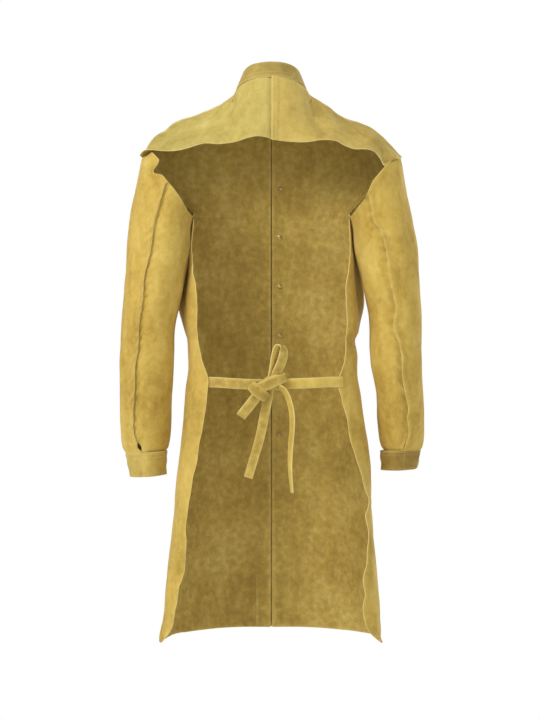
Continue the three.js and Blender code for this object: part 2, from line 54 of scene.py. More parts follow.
# ---- leather ----
HIDE = 1.7            # one layer of split leather
THIN_HIDE = 1.3       # collar lining
CUFF_HIDE = 3.0       # two layers, sewn
STRAP_HIDE = 3.4      # a tie: a strip folded lengthwise and sewn
GRAIN_PITCH = 4.2     # mesh spacing on the big panels
LAP = 8.0             # how far one panel laps over the next at a seam
ROW_INSET = 3.0       # first stitch row from the edge of the upper layer
ROW_GAP = 5.5         # from the first row to the second

# ---- body ----
HEM = -1136.0
ARMPIT = -278.0
MIDDLE_Y = -66.0
BACK_DEPTH = 98.0
CHEST_Z = -170.0
CHEST_Y = -178.0
HEM_Y = -203.0
SQUARENESS = 2.3
FRONT_GAP = 2.0
FRONT_HEM_RISE = 15.0  # the hem is this much higher in front than at the sides
CHEST_RUN = 275.0     # down a front panel from the shoulder to the armpit
PANEL_REACH = 330.0   # round a front panel, for its relief
PANEL_WIDTH = 340.0   # the same at the waist ties
PANEL_GRID = 360.0    # the same at its widest, for the mesh
ARMHOLE_REACH = 215.0  # from the middle to the armhole, for the thread rows there
YOKE_WIDTH = 262.0
YOKE_FALL = 120.0     # from the yoke's top to its lower edge, for its relief
YOKE_GRID = 122.0     # the same for the mesh and the thread rows

# ---- neck, shoulder and armhole ----
NECK_HALF = np.array([70.0, 69.0])
NECK_BACK_Y = 14.13
NECK_POINT = 95.0
COLLAR_HEIGHT = 30.0
COLLAR_LEAN = 13.0
COLLAR_ROUND = 415.0  # round the neck, for the mesh
ARMHOLE_MIDDLE = np.array([211.5, MIDDLE_Y, -216.0])
ARMHOLE_UP = np.array([0.646218, 0.0, 0.763153])
ARMHOLE_AXIS = np.array([-0.763153, 0.0, 0.646218])
ARMHOLE_HALF = (81.24, 77.0)
SHOULDER_TIP = np.array([264.0, MIDDLE_Y, -154.0])

# Half width of the body by height, measured at the side seam.
BODY_HALF = {
    "left": [(-278, 159), (-400, 168), (-466, 175), (-504, 174), (-526, 169), (-582, 168), (-629, 174),
             (-681, 179), (-722, 183), (-809, 192), (-906, 200), (-1003, 211), (-1084, 219), (-1138, 224)],
    "right": [(-278, 159), (-400, 168), (-506, 175), (-526, 168), (-560, 173), (-600, 174), (-641, 182),
              (-699, 191), (-753, 198), (-813, 201), (-890, 203), (-1003, 211), (-1084, 219), (-1138, 224)],
}
# How far from the middle each front panel's free back edge runs, by height.
PANEL_EDGE = {
    "left": [(-278, 158), (-330, 161), (-361, 160), (-399, 154), (-438, 150), (-504, 148), (-526, 146),
             (-564, 140), (-595, 129), (-610, 127), (-646, 129), (-705, 138), (-743, 145), (-786, 151),
             (-847, 163), (-902, 170), (-940, 168), (-978, 171), (-1010, 179), (-1048, 187), (-1080, 194),
             (-1109, 203), (-1128, 213), (-1138, 221)],
    "right": [(-278, 158), (-330, 160), (-361, 159), (-399, 153), (-450, 150), (-506, 149), (-571, 145),
              (-597, 137), (-610, 134), (-623, 135), (-662, 144), (-701, 152), (-740, 161), (-788, 176),
              (-841, 191), (-857, 194), (-883, 189), (-924, 193), (-949, 191), (-985, 186), (-1010, 183),
              (-1039, 186), (-1061, 184), (-1093, 187), (-1112, 194), (-1127, 207), (-1138, 220)],
}
# The shoulder line from the neck point to the tip: part of the way out, and part of the way down.
SHOULDER = {
    "left": [(0.18, 0.19), (0.41, 0.34), (0.63, 0.46), (0.75, 0.60), (0.87, 0.72), (0.96, 0.92)],
    "right": [(0.22, 0.21), (0.35, 0.36), (0.55, 0.48), (0.70, 0.59), (0.87, 0.81), (0.96, 0.95)],
}
# The yoke's lower edge from the middle of the back out to the armhole.
YOKE_EDGE = {
    "left": [(0, 33, -127), (9, 33, -124), (26, 33, -122), (44, 33, -125), (70, 32, -132), (100, 29, -135),
             (131, 24, -136), (157, 17, -146), (191, 5, -151), (226, -14, -151), (250, -30, -152),
             (260, -37, -158)],
    "right": [(0, 33, -128), (34, 33, -132), (73, 32, -134), (125, 25, -130), (147, 21, -139),
              (166, 16, -147), (199, 5, -152), (212, -1, -163), (219, -5, -178), (228, -6, -184),
              (238, -9, -180), (251.7, -16.5, -168.5)],
}
# How far each front panel billows out in front of the arm, by height.
BILLOW = [(-700, 0), (-535, 0), (-515, 2), (-490, 9), (-466, 17), (-440, 20), (-400, 19), (-352, 16),
          (-315, 13), (-290, 10), (-255, 0), (-200, 0)]
YOKE_TURN = {"left": 22.0, "right": 40.0}

# Sleeve: part of the length, the middle's x, y and z, half width and half depth.
SLEEVE = {
    "left": [(0, 211.5, -66, -216, 81.2, 77), (0.14, 223, -63, -290, 67, 76),
             (0.24, 228, -59, -343, 62, 73), (0.36, 237.5, -56, -422, 58.3, 70),
             (0.52, 249, -55, -503, 53, 65), (0.65, 251.9, -57, -575, 54, 61),
             (0.8, 252.4, -70, -652, 52, 56), (0.92, 252.5, -88, -716, 49.5, 51),
             (0.975, 253.5, -97, -744, 45.5, 48), (1, 254, -101, -757, 38, 43.5)],
    "right": [(0, 211.5, -66, -216, 81.2, 77), (0.14, 222.5, -63, -290, 64, 76),
              (0.25, 232.5, -59, -352, 61.5, 73), (0.36, 242, -56, -422, 56, 70),
              (0.48, 249.5, -55, -480, 52, 66), (0.65, 252, -57, -575, 50.5, 61),
              (0.75, 258.5, -66, -628, 46.5, 58), (0.86, 260.5, -81, -685, 46, 53),
              (0.95, 262.5, -94, -731, 43.5, 49), (1, 263, -101, -757, 36.5, 43)],
}
# Turn of the sleeve's back seam by height: 0 at the outer side, 90 at the back, 180 at the body.
BACK_SEAM = {
    "left": [(-216, 90), (-248, 87), (-300, 81), (-356, 78), (-400, 72.6), (-446, 74), (-506, 73),
             (-544, 72.6), (-574, 68), (-620, 66.5), (-658, 62.7), (-704, 63), (-728, 72), (-757, 83)],
    "right": [(-216, 107), (-248, 107), (-280, 107), (-300, 100), (-330, 94), (-366, 93), (-400, 93.6),
              (-438, 91), (-464, 89), (-488, 96), (-506, 97), (-532, 86), (-560, 80), (-596, 81.5),
              (-628, 80.5), (-654, 73), (-676, 75), (-708, 73), (-736, 84), (-757, 87)],
}
INNER_SEAM = 214.0
SLEEVE_LENGTH = 560.0
SLEEVE_GRID = 575.0   # with the ends tucked in, for the mesh
OUTER_WIDTH = 245.0   # round the outer panel
UNDER_WIDTH = 155.0   # round the under panel
LAP_TURN = 9.0        # degrees that the under panel goes on beneath the outer one
CUFF_TUCK = {"left": 0.8, "right": 2.6}  # how far each sleeve's end is drawn in under its cuff
CUFF = {
    "left": {"x": 254.0, "top": -754.0, "bottom": -799.0, "wide": (41.5, 34.5), "deep": (47.0, 43.0),
             "shift": -2.5},
    "right": {"x": 262.0, "top": -750.0, "bottom": -786.0, "wide": (40.0, 34.5), "deep": (46.0, 43.0),
              "shift": -1.0},
}
CUFF_Y = -101.0
CUFF_GRID = (255.0, 42.0)  # round and down a cuff, for the mesh
TAB_GRID = (62.0, 43.0)    # along and across its tab
CUFF_SLIT = 84.0
TAB_ROOT = 80.0
TAB_END = 143.0
TAB_SLANT = 15.0      # the tab's end runs this many degrees further at its foot
TAB_HINGE = np.array([0.26055, -0.052489, -0.777])  # the left tab's sewn root, in metres
TAB_BEND = 0.008      # metres of the tab that bend when it opens
TIE_Z = -610.0
WAIST_TIE_WIDTH = 19.0
LOOP_WIDTH = 18.0
TAIL_WIDTH = 17.5
TAIL_HIDE = 2.8       # a tie's tail or turn over the knot, pressed flatter


# ---------------------------------------------------------------- small tools
def smooth(low, high, value):
    share = np.clip((np.asarray(value, float) - low) / (high - low), 0, 1)
    return share * share * (3 - 2 * share)


def through(rows, place):
    """The value at each place of a smooth line through rows of (place, value)."""
    rows = np.array(sorted(rows), float)
    at, value = rows[:, 0], rows[:, 1]
    last = len(at) - 1
    index = np.arange(last + 1)
    before = np.maximum(index - 1, 0)
    after = np.minimum(index + 1, last)
    slope = (value[after] - value[before]) / (at[after] - at[before])
    place = np.asarray(place, float)
    i = np.clip(np.searchsorted(at, place, side="right") - 1, 0, last - 1)
    span = at[i + 1] - at[i]
    t = np.clip((place - at[i]) / span, 0, 1)
    level = value[i] * (1 + 2 * t) * (1 - t) ** 2 + value[i + 1] * t * t * (3 - 2 * t)
    return level + (1 - t) ** 2 * t * slope[i] * span - t * t * (1 - t) * slope[i + 1] * span


def line_through(points):
    """A smooth line through points, as a function of the share of its length."""
    points = np.array(points, float)
    run = np.concatenate([[0], np.cumsum(np.linalg.norm(np.diff(points, axis=0), axis=1))])
    run /= run[-1]
    axes = [list(zip(run, points[:, k])) for k in range(points.shape[1])]
    return lambda share: np.stack([through(rows, share) for rows in axes], axis=-1)


def evenly_through(points):
    """A smooth change from each of the points to the next, evenly spaced from 0 to 1."""
    points = np.array(points, float)
    shares = np.linspace(0, 1, len(points))
    axes = [list(zip(shares, points[:, k])) for k in range(points.shape[1])]
    return lambda share: np.stack([through(rows, share) for rows in axes], axis=-1)


def unit(vectors):
    return vectors / np.maximum(np.linalg.norm(vectors, axis=-1, keepdims=True), 1e-9)


def mixed(a, b, share):
    share = np.asarray(share, float)[..., None]
    return a * (1 - share) + b * share


def spaced(start, end, length, pitch, edge=1.4):
    """Grid places from start to end: even ones, with one more close to each end for a crisp edge."""
    count = max(int(round(length / pitch)), 2)
    inner = np.linspace(0, 1, count + 1)
    near = min(edge / length, 0.3 / count)
    share = np.concatenate([[0, near], inner[1:-1], [1 - near, 1]])
    return start + (end - start) * share


def spanned(top, bottom, start, end):
    """A surface spanned between four edges: top and bottom run along u, start and end along v."""
    corners = [top(np.array(0.0)), top(np.array(1.0)), bottom(np.array(0.0)), bottom(np.array(1.0))]

    def at(u, v):
        u, v = np.broadcast_arrays(np.asarray(u, float), np.asarray(v, float))
        place = mixed(top(u), bottom(u), v) + mixed(start(v), end(v), u)
        weights = [(1 - u) * (1 - v), u * (1 - v), (1 - u) * v, u * v]
        for corner, weight in zip(corners, weights):
            place = place - corner * weight[..., None]
        return place
    return at


def extended(surface):
    """The surface carried straight on past its edges."""
    step = 2e-3

    def at(u, v):
        u, v = np.broadcast_arrays(np.asarray(u, float), np.asarray(v, float))
        inside_u, inside_v = np.clip(u, 0, 1), np.clip(v, 0, 1)
        place = surface(inside_u, inside_v)
        back = surface(inside_u - step * np.sign(u - inside_u), inside_v - step * np.sign(v - inside_v))
        beyond = (np.abs(u - inside_u) + np.abs(v - inside_v)) / step
        return place + (place - back) * beyond[..., None]
    return at


def dents(seed, wavelength, height, upright=1.0, count=7):
    """A field of soft rises and dents of about one wavelength, drawn out up and down by upright."""
    draw = np.random.default_rng(seed)
    heading = draw.uniform(0, 2 * math.pi, count)
    pitch = draw.normal(0, 0.55, count) / upright
    waves = np.stack([np.cos(heading), np.sin(heading), pitch], axis=1)
    waves *= (2 * math.pi / (wavelength * draw.uniform(0.75, 1.35, count)))[:, None]
    start = draw.uniform(0, 2 * math.pi, count)

    def at(place):
        return height * np.sin(place @ waves.T + start).sum(axis=-1) / math.sqrt(count / 2)
    return at


def fold(x0, z0, x1, z1, width, height):
    """A ridge, or a crease where height is below 0, along a straight line seen from behind the wearer."""
    start, run = np.array([x0, z0], float), np.array([x1 - x0, z1 - z0], float)

    def at(place):
        offset = place[..., [0, 2]] - start
        share = np.clip((offset @ run) / (run @ run), 0, 1)
        away = np.linalg.norm(offset - share[..., None] * run, axis=-1)
        fade = np.sin(math.pi * np.clip(share, 0.04, 0.96)) ** 0.5
        return height * fade * np.exp(-(away / width) ** 2)
    return at


broad = dents(11, 150, 1.3, upright=2.2)
middling = dents(12, 58, 0.55, upright=1.8)
small = dents(13, 21, 0.16, upright=1.2)
BODY_PLACE = np.array([0.0, MIDDLE_Y, -600.0])


def worn(surface, middle, extra=None, calm=None):
    """A surface as it hangs. The result takes u, v and a lift along the normal, away from middle."""
    def normals(u, v):
        step = 1e-3
        along_u = surface(u + step, v) - surface(u - step, v)
        along_v = surface(u, v + step) - surface(u, v - step)
        return unit(np.cross(along_u, along_v))

    su, sv = np.meshgrid(np.linspace(0.1, 0.9, 9), np.linspace(0.1, 0.9, 9))
    facing = np.sign(np.sum(normals(su, sv) * (surface(su, sv) - middle), axis=-1).sum())

    def at(u, v, lift=0.0):
        u, v = np.broadcast_arrays(np.asarray(u, float), np.asarray(v, float))
        place = surface(u, v)
        normal = normals(u, v) * facing
        soft = broad(place) + middling(place) + small(place)
        if calm is not None:
            soft = soft * calm(place)
        rise = soft + lift
        if extra is not None:
            rise = rise + extra(u, v, place)
        return place + normal * rise[..., None]
    return at


def flipped(shape, side):
    """The same shape on the wearer's right where side is -1."""
    def at(u, v, lift=0.0):
        return shape(u, v, lift) * np.array([side, 1, 1])
    return at


# ---------------------------------------------------------------- meshes
def new_object(name, verts, faces, material):
    mesh = bpy.data.meshes.new(name)
    mesh.from_pydata((np.asarray(verts) * MM).tolist(), [], faces)
    mesh.polygons.foreach_set("use_smooth", [True] * len(mesh.polygons))
    mesh.materials.append(material)
    mesh.update()
    piece = bpy.data.objects.new(name, mesh)
    bpy.context.scene.collection.objects.link(piece)
    return piece


def volume_of(verts, faces):
    quads = np.array([f if len(f) == 4 else (*f, f[-1]) for f in faces])
    a, b, c, d = (verts[quads[:, k]] for k in range(4))
    return float((a * np.cross(b, c)).sum() + (a * np.cross(c, d)).sum())


def grid_quads(rows, cols, offset=0, wrap=False):
    j, i = np.meshgrid(np.arange(rows - 1), np.arange(cols if wrap else cols - 1), indexing="ij")
    ahead = (i + 1) % cols
    return np.stack([j * cols + i, j * cols + ahead, (j + 1) * cols + ahead, (j + 1) * cols + i],
                    axis=-1).reshape(-1, 4) + offset


def border_of(rows, cols):
    """Grid indices round the border, and the index one step inside each."""
    top = [(0, i, 1, i) for i in range(cols - 1)]
    right = [(j, cols - 1, j, cols - 2) for j in range(rows - 1)]
    bottom = [(rows - 1, i, rows - 2, i) for i in range(cols - 1, 0, -1)]
    left = [(j, 0, j, 1) for j in range(rows - 1, 0, -1)]
    ring = np.array(top + right + bottom + left)
    return ring[:, 0] * cols + ring[:, 1], ring[:, 2] * cols + ring[:, 3]


def edge_wear(grid, reach=7.0):
    """1 at the sheet's edge, fading to 0 at reach inside it."""
    away = np.full(grid.shape[:2], 1e9)
    for axis in (0, 1):
        steps = np.linalg.norm(np.diff(grid, axis=axis), axis=-1)
        pad = [(1, 0), (0, 0)] if axis == 0 else [(0, 0), (1, 0)]
        run = np.pad(np.cumsum(steps, axis=axis), pad)
        whole = np.take(run, [-1], axis=axis)
        away = np.minimum(away, np.minimum(run, whole - run))
    return np.clip(1 - away / reach, 0, 1) ** 1.5


def leather(name, shape, us, vs, material, thickness=HIDE, body=None, node=None):
    """A closed sheet of leather with rounded cut edges over a grid of u and v."""
    u, v = np.meshgrid(us, vs)
    outer, inner = shape(u, v, thickness / 2), shape(u, v, -thickness / 2)
    rows, cols = u.shape
    layer = rows * cols
    flat_outer, flat_inner = outer.reshape(-1, 3), inner.reshape(-1, 3)
    ring, within = border_of(rows, cols)
    middle = (flat_outer + flat_inner) / 2
    outward = unit(middle[ring] - middle[within])
    rim = middle[ring] + outward * thickness * 0.32
    verts = np.concatenate([flat_outer, flat_inner, rim])
    count = len(ring)
    k = np.arange(count)
    ahead = (k + 1) % count
    rim_index = 2 * layer + k
    rim_ahead = 2 * layer + ahead
    top_strip = np.stack([ring[ahead], ring, rim_index, rim_ahead], axis=1)
    low_strip = np.stack([rim_ahead, rim_index, layer + ring, layer + ring[ahead]], axis=1)
    faces = np.concatenate([grid_quads(rows, cols), grid_quads(rows, cols, layer)[:, ::-1], top_strip,
                            low_strip])
    if volume_of(verts, faces) < 0:
        faces = faces[:, ::-1]
    piece = new_object(name, verts, faces.tolist(), material)
    cells = (rows - 1) * (cols - 1)
    flesh = np.concatenate([np.zeros(cells), np.ones(cells), np.zeros(2 * count)])
    cut = np.concatenate([np.zeros(2 * cells), np.ones(2 * count)])
    wear = edge_wear(shape(u, v, 0.0)).ravel()
    wear = np.concatenate([wear, wear, np.ones(count)])
    for label, domain, values in (("flesh", "FACE", flesh), ("cut", "FACE", cut), ("wear", "POINT", wear)):
        attribute = piece.data.attributes.new(label, "FLOAT", domain)
        attribute.data.foreach_set("value", values.astype(np.float32))
    finish_piece(piece, body, node)
    return piece


def finish_piece(piece, body, node=None):
    """body is one body's name, which the piece is attached to, or a tuple of two bodies with the start and
    the end of a bend between them; such a tuple only bakes the piece in place, and its bodies and bend are
    not used.
    """
    if isinstance(body, str):
        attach(piece, body)
    elif body is not None:
        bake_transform(piece)
    if node is not None:
        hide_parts(node)


# ---------------------------------------------------------------- materials
def srgb(*values):
    return tuple(((v / 255 + 0.055) / 1.055) ** 2.4 if v > 10 else v / 255 / 12.92 for v in values) + (1,)


def make_nodes(name):
    material = bpy.data.materials.new(name)
    material.use_nodes = True
    tree = material.node_tree
    tree.nodes.clear()
    return material, tree


def add_node(tree, kind, links=(), **settings):
    """Adds a node. Settings name attributes or input sockets, and links give input sockets their sources."""
    node = tree.nodes.new(kind)
    for key, value in settings.items():
        socket = node.inputs.get(key.replace("_", " "))
        if socket is None:
            setattr(node, key, value)
        else:
            socket.default_value = value
    for socket, source in dict(links).items():
        tree.links.new(source, node.inputs[socket])
    return node


def object_place(tree):
    return add_node(tree, "ShaderNodeTexCoord").outputs["Object"]


def bumped(tree, height, strength, distance):
    bump = add_node(tree, "ShaderNodeBump", {"Height": height}, Strength=strength, Distance=distance)
    return bump.outputs["Normal"]


def surfaced(tree, links, **settings):
    shader = add_node(tree, "ShaderNodeBsdfPrincipled", links, **settings)
    add_node(tree, "ShaderNodeOutputMaterial", {"Surface": shader.outputs[0]})


def noise(tree, place, scale, detail=3.0, roughness=0.55):
    return add_node(tree, "ShaderNodeTexNoise", {"Vector": place}, Scale=scale, Detail=detail,
                    Roughness=roughness).outputs["Fac"]


def weighed(tree, parts):
    """The sum of values times their weights."""
    total = None
    for source, weight in parts:
        scaled = add_node(tree, "ShaderNodeMath", {0: source}, operation="MULTIPLY")
        scaled.inputs[1].default_value = weight
        if total is None:
            total = scaled.outputs[0]
        else:
            total = add_node(tree, "ShaderNodeMath", {0: total, 1: scaled.outputs[0]},
                             operation="ADD").outputs[0]
    return total


def ramp(tree, value, stops):
    node = add_node(tree, "ShaderNodeValToRGB", {"Fac": value})
    elements = node.color_ramp.elements
    while len(elements) < len(stops):
        elements.new(0.5)
    for element, (place, colour) in zip(elements, stops):
        element.position = place
        element.color = colour
    return node.outputs["Color"]


def blended(tree, factor, a, b):
    node = add_node(tree, "ShaderNodeMix", data_type="RGBA")
    tree.links.new(factor, node.inputs[0])
    for socket, source in ((node.inputs[6], a), (node.inputs[7], b)):
        if isinstance(source, tuple):
            socket.default_value = source
        else:
            tree.links.new(source, socket)
    return node.outputs[2]


CUT_EDGE = srgb(226, 208, 140)
# The flesh side's own browner tone, darkened further with painted shade for the coat's inside.
FLESH_AND_SHADE = srgb(126, 104, 55)
SHEEN = srgb(250, 232, 176)


def suede(name, seed, dark, base, light):
    """Brushed split leather: cloudy colour, a fine nap, pale cut edges, edges rubbed lighter, and a flesh
    side in its own browner tone darkened further with painted shade.
    """
    dark, base, light = srgb(*dark), srgb(*base), srgb(*light)
    material, tree = make_nodes(name)
    shifted = add_node(tree, "ShaderNodeMapping", {"Vector": object_place(tree)},
                       Location=(seed * 3.1, seed * 1.7, seed * 0.9))
    place = shifted.outputs["Vector"]
    drawn_out = add_node(tree, "ShaderNodeMapping", {"Vector": place}, Scale=(1, 1, 0.35)).outputs["Vector"]
    cloud = noise(tree, place, 6.5, 4, 0.6)
    brushed = noise(tree, drawn_out, 34, 5, 0.62)
    blotch = noise(tree, place, 85, 4, 0.6)
    speck = noise(tree, place, 420, 3, 0.7)
    mottle = weighed(tree, [(cloud, 0.42), (brushed, 0.28), (blotch, 0.17), (speck, 0.13)])
    colour = ramp(tree, mottle, [(0.39, dark), (0.5, base), (0.61, light)])
    flesh, cut, wear = (add_node(tree, "ShaderNodeAttribute", attribute_name=label).outputs["Fac"]
                        for label in ("flesh", "cut", "wear"))
    # The flesh side: its own tone, darkened with painted shade.
    inside = blended(tree, blotch, FLESH_AND_SHADE, colour)
    colour = blended(tree, weighed(tree, [(flesh, 0.8)]), colour, inside)
    rubbed = add_node(tree, "ShaderNodeMath", {0: wear, 1: blotch}, operation="MULTIPLY").outputs[0]
    colour = blended(tree, weighed(tree, [(rubbed, 0.75)]), colour, light)
    colour = blended(tree, weighed(tree, [(cut, 0.8)]), colour, CUT_EDGE)
    nap = noise(tree, place, 1500, 3, 0.75)
    pebble = noise(tree, place, 260, 4, 0.6)
    height = weighed(tree, [(nap, 0.3), (speck, 0.3), (pebble, 0.55), (blotch, 0.8)])
    normal = bumped(tree, height, 0.55, 0.0011)
    rough = add_node(tree, "ShaderNodeMapRange", {"Value": mottle}, To_Min=0.98,
                     To_Max=0.86).outputs["Result"]
    surfaced(tree, {"Base Color": colour, "Normal": normal, "Roughness": rough}, Specular_IOR_Level=0.18,
             Sheen_Weight=0.22, Sheen_Roughness=0.45, Sheen_Tint=SHEEN)
    return material


def thread_material():
    material, tree = make_nodes("waxed_thread")
    place = object_place(tree)
    colour = ramp(tree, noise(tree, place, 60, 2), [(0.35, srgb(176, 148, 78)), (0.65, srgb(222, 200, 132))])
    twist = add_node(tree, "ShaderNodeTexWave", {"Vector": place}, Scale=900, Distortion=1.5).outputs["Fac"]
    surfaced(tree, {"Base Color": colour, "Normal": bumped(tree, twist, 0.4, 0.0001)}, Roughness=0.62,
             Sheen_Weight=0.1)
    return material


def brass_material():
    material, tree = make_nodes("brushed_brass")
    place = object_place(tree)
    wear = noise(tree, place, 180, 5, 0.7)
    drawn_out = add_node(tree, "ShaderNodeMapping", {"Vector": place}, Scale=(1, 1, 9)).outputs["Vector"]
    colour = ramp(tree, wear, [(0.35, srgb(118, 96, 52)), (0.6, srgb(190, 164, 104))])
    normal = bumped(tree, noise(tree, drawn_out, 700, 2), 0.2, 0.0001)
    rough = add_node(tree, "ShaderNodeMapRange", {"Value": wear}, To_Min=0.5, To_Max=0.26).outputs["Result"]
    surfaced(tree, {"Base Color": colour, "Normal": normal, "Roughness": rough}, Metallic=1.0)
    return material


def pile_material():
    material, tree = make_nodes("hook_and_loop_pile")
    tufts = noise(tree, object_place(tree), 900, 4, 0.8)
    colour = ramp(tree, tufts, [(0.35, srgb(96, 84, 48)), (0.65, srgb(168, 148, 92))])
    surfaced(tree, {"Base Color": colour, "Normal": bumped(tree, tufts, 0.9, 0.0006)}, Roughness=0.95)
    return material


hide = suede("yellow_suede", 1, (168, 138, 60), (198, 168, 82), (216, 189, 104))
sleeve_hide = suede("deep_yellow_suede", 2, (166, 134, 56), (195, 164, 78), (214, 187, 100))
pale_hide = suede("pale_yellow_suede", 3, (166, 147, 76), (190, 171, 94), (206, 188, 112))
strap_hide = suede("strap_suede", 5, (182, 151, 66), (209, 180, 90), (224, 200, 112))
collar_hide = suede("collar_suede", 6, (146, 124, 64), (170, 147, 78), (190, 167, 96))
# A darker copy of the sleeve suede for the right cuff: painted shade, not wear.
shaded_hide = suede("painted_shade_cuff_suede", 7, (134, 108, 50), (158, 131, 66), (180, 154, 84))
warm_hide = suede("warm_yellow_suede", 4, (162, 136, 66), (188, 162, 84), (206, 181, 101))
thread = thread_material()
brass = brass_material()
pile = pile_material()


# ---------------------------------------------------------------- stitches
def stitch_tree():
    """Stitches along rows of edges: each row is cut at an even pitch and a thread is laid at each cut."""
    tree = bpy.data.node_groups.new("stitch_rows", "GeometryNodeTree")
    sockets = {"Rows": "NodeSocketGeometry", "Pitch": "NodeSocketFloat", "Stitch length": "NodeSocketFloat",
               "Thread width": "NodeSocketFloat", "Thread": "NodeSocketMaterial"}
    for label, kind in sockets.items():
        tree.interface.new_socket(label, in_out="INPUT", socket_type=kind)
    tree.interface.new_socket("Stitches", in_out="OUTPUT", socket_type="NodeSocketGeometry")
    given = tree.nodes.new("NodeGroupInput").outputs
    rows = add_node(tree, "GeometryNodeMeshToCurve", {"Mesh": given["Rows"]}).outputs[0]
    cuts = add_node(tree, "GeometryNodeResampleCurve", {"Curve": rows, "Length": given["Pitch"]},
                    mode="LENGTH")
    along = add_node(tree, "GeometryNodeInputTangent").outputs[0]
    turned = add_node(tree, "FunctionNodeAlignRotationToVector", {"Vector": along}, axis="Z").outputs[0]
    ball = add_node(tree, "GeometryNodeMeshUVSphere", Segments=6, Rings=5, Radius=0.5).outputs["Mesh"]
    size = add_node(tree, "ShaderNodeCombineXYZ", {"X": given["Thread width"], "Y": given["Thread width"],
                                                   "Z": given["Stitch length"]}).outputs[0]
    one = add_node(tree, "GeometryNodeTransform", {"Geometry": ball, "Scale": size}).outputs[0]
    laid = add_node(tree, "GeometryNodeInstanceOnPoints",
                    {"Points": cuts.outputs[0], "Instance": one, "Rotation": turned}).outputs[0]
    real = add_node(tree, "GeometryNodeRealizeInstances", {"Geometry": laid}).outputs[0]
    coloured = add_node(tree, "GeometryNodeSetMaterial", {"Geometry": real,
                                                          "Material": given["Thread"]}).outputs[0]
    tree.links.new(coloured, tree.nodes.new("NodeGroupOutput").inputs[0])
    return tree


stitching = stitch_tree()
PITCH = 4.0
STITCH = 3.1
THREAD_WIDTH = 0.75


def stitches(name, rows, body, pitch=PITCH, length=STITCH, width=THREAD_WIDTH):
    """Thread along each row of points, made one plain mesh on a body."""
    verts = np.concatenate(rows) * MM
    edges, start = [], 0
    for row in rows:
        edges += [(start + k, start + k + 1) for k in range(len(row) - 1)]
        start += len(row)
    mesh = bpy.data.meshes.new(name + "_rows")
    mesh.from_pydata(verts.tolist(), edges, [])
    carrier = bpy.data.objects.new(name + "_rows", mesh)
    bpy.context.scene.collection.objects.link(carrier)
    modifier = carrier.modifiers.new("stitch_rows", "NODES")
    modifier.node_group = stitching
    values = {"Pitch": pitch * MM, "Stitch length": length * MM, "Thread width": width * MM, "Thread": thread}
    for item in stitching.interface.items_tree:
        if item.in_out == "INPUT" and item.name in values:
            modifier[item.identifier] = values[item.name]
    made = bpy.data.meshes.new_from_object(carrier.evaluated_get(bpy.context.evaluated_depsgraph_get()))
    bpy.data.objects.remove(carrier)
    made.name = name
    made.polygons.foreach_set("use_smooth", [True] * len(made.polygons))
    piece = bpy.data.objects.new(name, made)
    bpy.context.scene.collection.objects.link(piece)
    finish_piece(piece, body)
    return piece


# ---------------------------------------------------------------- camera, lights and floor
def add_camera():
    data = bpy.data.cameras.new("camera")
    data.lens = 125
    data.sensor_width = 36
    data.clip_end = 100
    camera = bpy.data.objects.new("camera", data)
    camera.location = (0.003, 5.0, -0.566)
    camera.rotation_euler = (math.radians(90), 0, math.radians(180))
    bpy.context.scene.collection.objects.link(camera)
    bpy.context.scene.camera = camera


def add_area(name, place, size, power, colour=(1, 1, 1)):
    data = bpy.data.lights.new(name, "AREA")
    data.size = size
    data.energy = power
    data.color = colour
    lamp = bpy.data.objects.new(name, data)
    lamp.location = place
    aim = np.array([0, 0, -0.55]) - np.array(place)
    flat = math.hypot(aim[0], aim[1])
    lamp.rotation_euler = (math.atan2(flat, -aim[2]), 0, math.atan2(-aim[0], aim[1]))
    bpy.context.scene.collection.objects.link(lamp)


def add_world():
    """White round the horizon and softer above and below, as in a light tent."""
    world = bpy.data.worlds.new("studio")
    bpy.context.scene.world = world
    world.use_nodes = True
    tree = world.node_tree
    tree.nodes.clear()
    direction = add_node(tree, "ShaderNodeTexCoord").outputs["Generated"]
    height = add_node(tree, "ShaderNodeSeparateXYZ", {"Vector": direction}).outputs["Z"]
    share = add_node(tree, "ShaderNodeMapRange", {"Value": height}, From_Min=-1, From_Max=1)
    low, near, white, top = ((v, v, v, 1) for v in (0.3, 0.8, 1.0, 0.42))
    colour = ramp(tree, share.outputs[0], [(0.18, low), (0.36, near), (0.42, white), (0.58, white),
                                           (0.74, top)])
    background = add_node(tree, "ShaderNodeBackground", {"Color": colour}, Strength=1.0)
    add_node(tree, "ShaderNodeOutputWorld", {"Surface": background.outputs[0]})


def add_floor():
    radius, z, count = 3.0, -1.78, 96
    turns = [2 * math.pi * k / count for k in range(count)]
    mesh = bpy.data.meshes.new("floor")
    mesh.from_pydata([(radius * math.cos(a), radius * math.sin(a), z) for a in turns], [],
                     [tuple(range(count))])
    material, tree = make_nodes("pale_floor")
    surfaced(tree, {}, Base_Color=(0.86, 0.86, 0.85, 1), Roughness=0.9)
    mesh.materials.append(material)
    floor = bpy.data.objects.new("floor", mesh)
    bpy.context.scene.collection.objects.link(floor)


bpy.context.scene.view_settings.view_transform = "Standard"
add_camera()
add_world()
add_floor()
add_area("key", (3.0, 3.0, 1.4), 1.3, 96, (1.0, 0.985, 0.96))
add_area("fill", (-2.8, 3.0, 0.1), 2.2, 8, (0.95, 0.97, 1.0))
add_area("top", (0.3, 0.9, 2.2), 1.2, 17)
add_area("front", (-2.2, -3.2, 1.2), 2.0, 60)


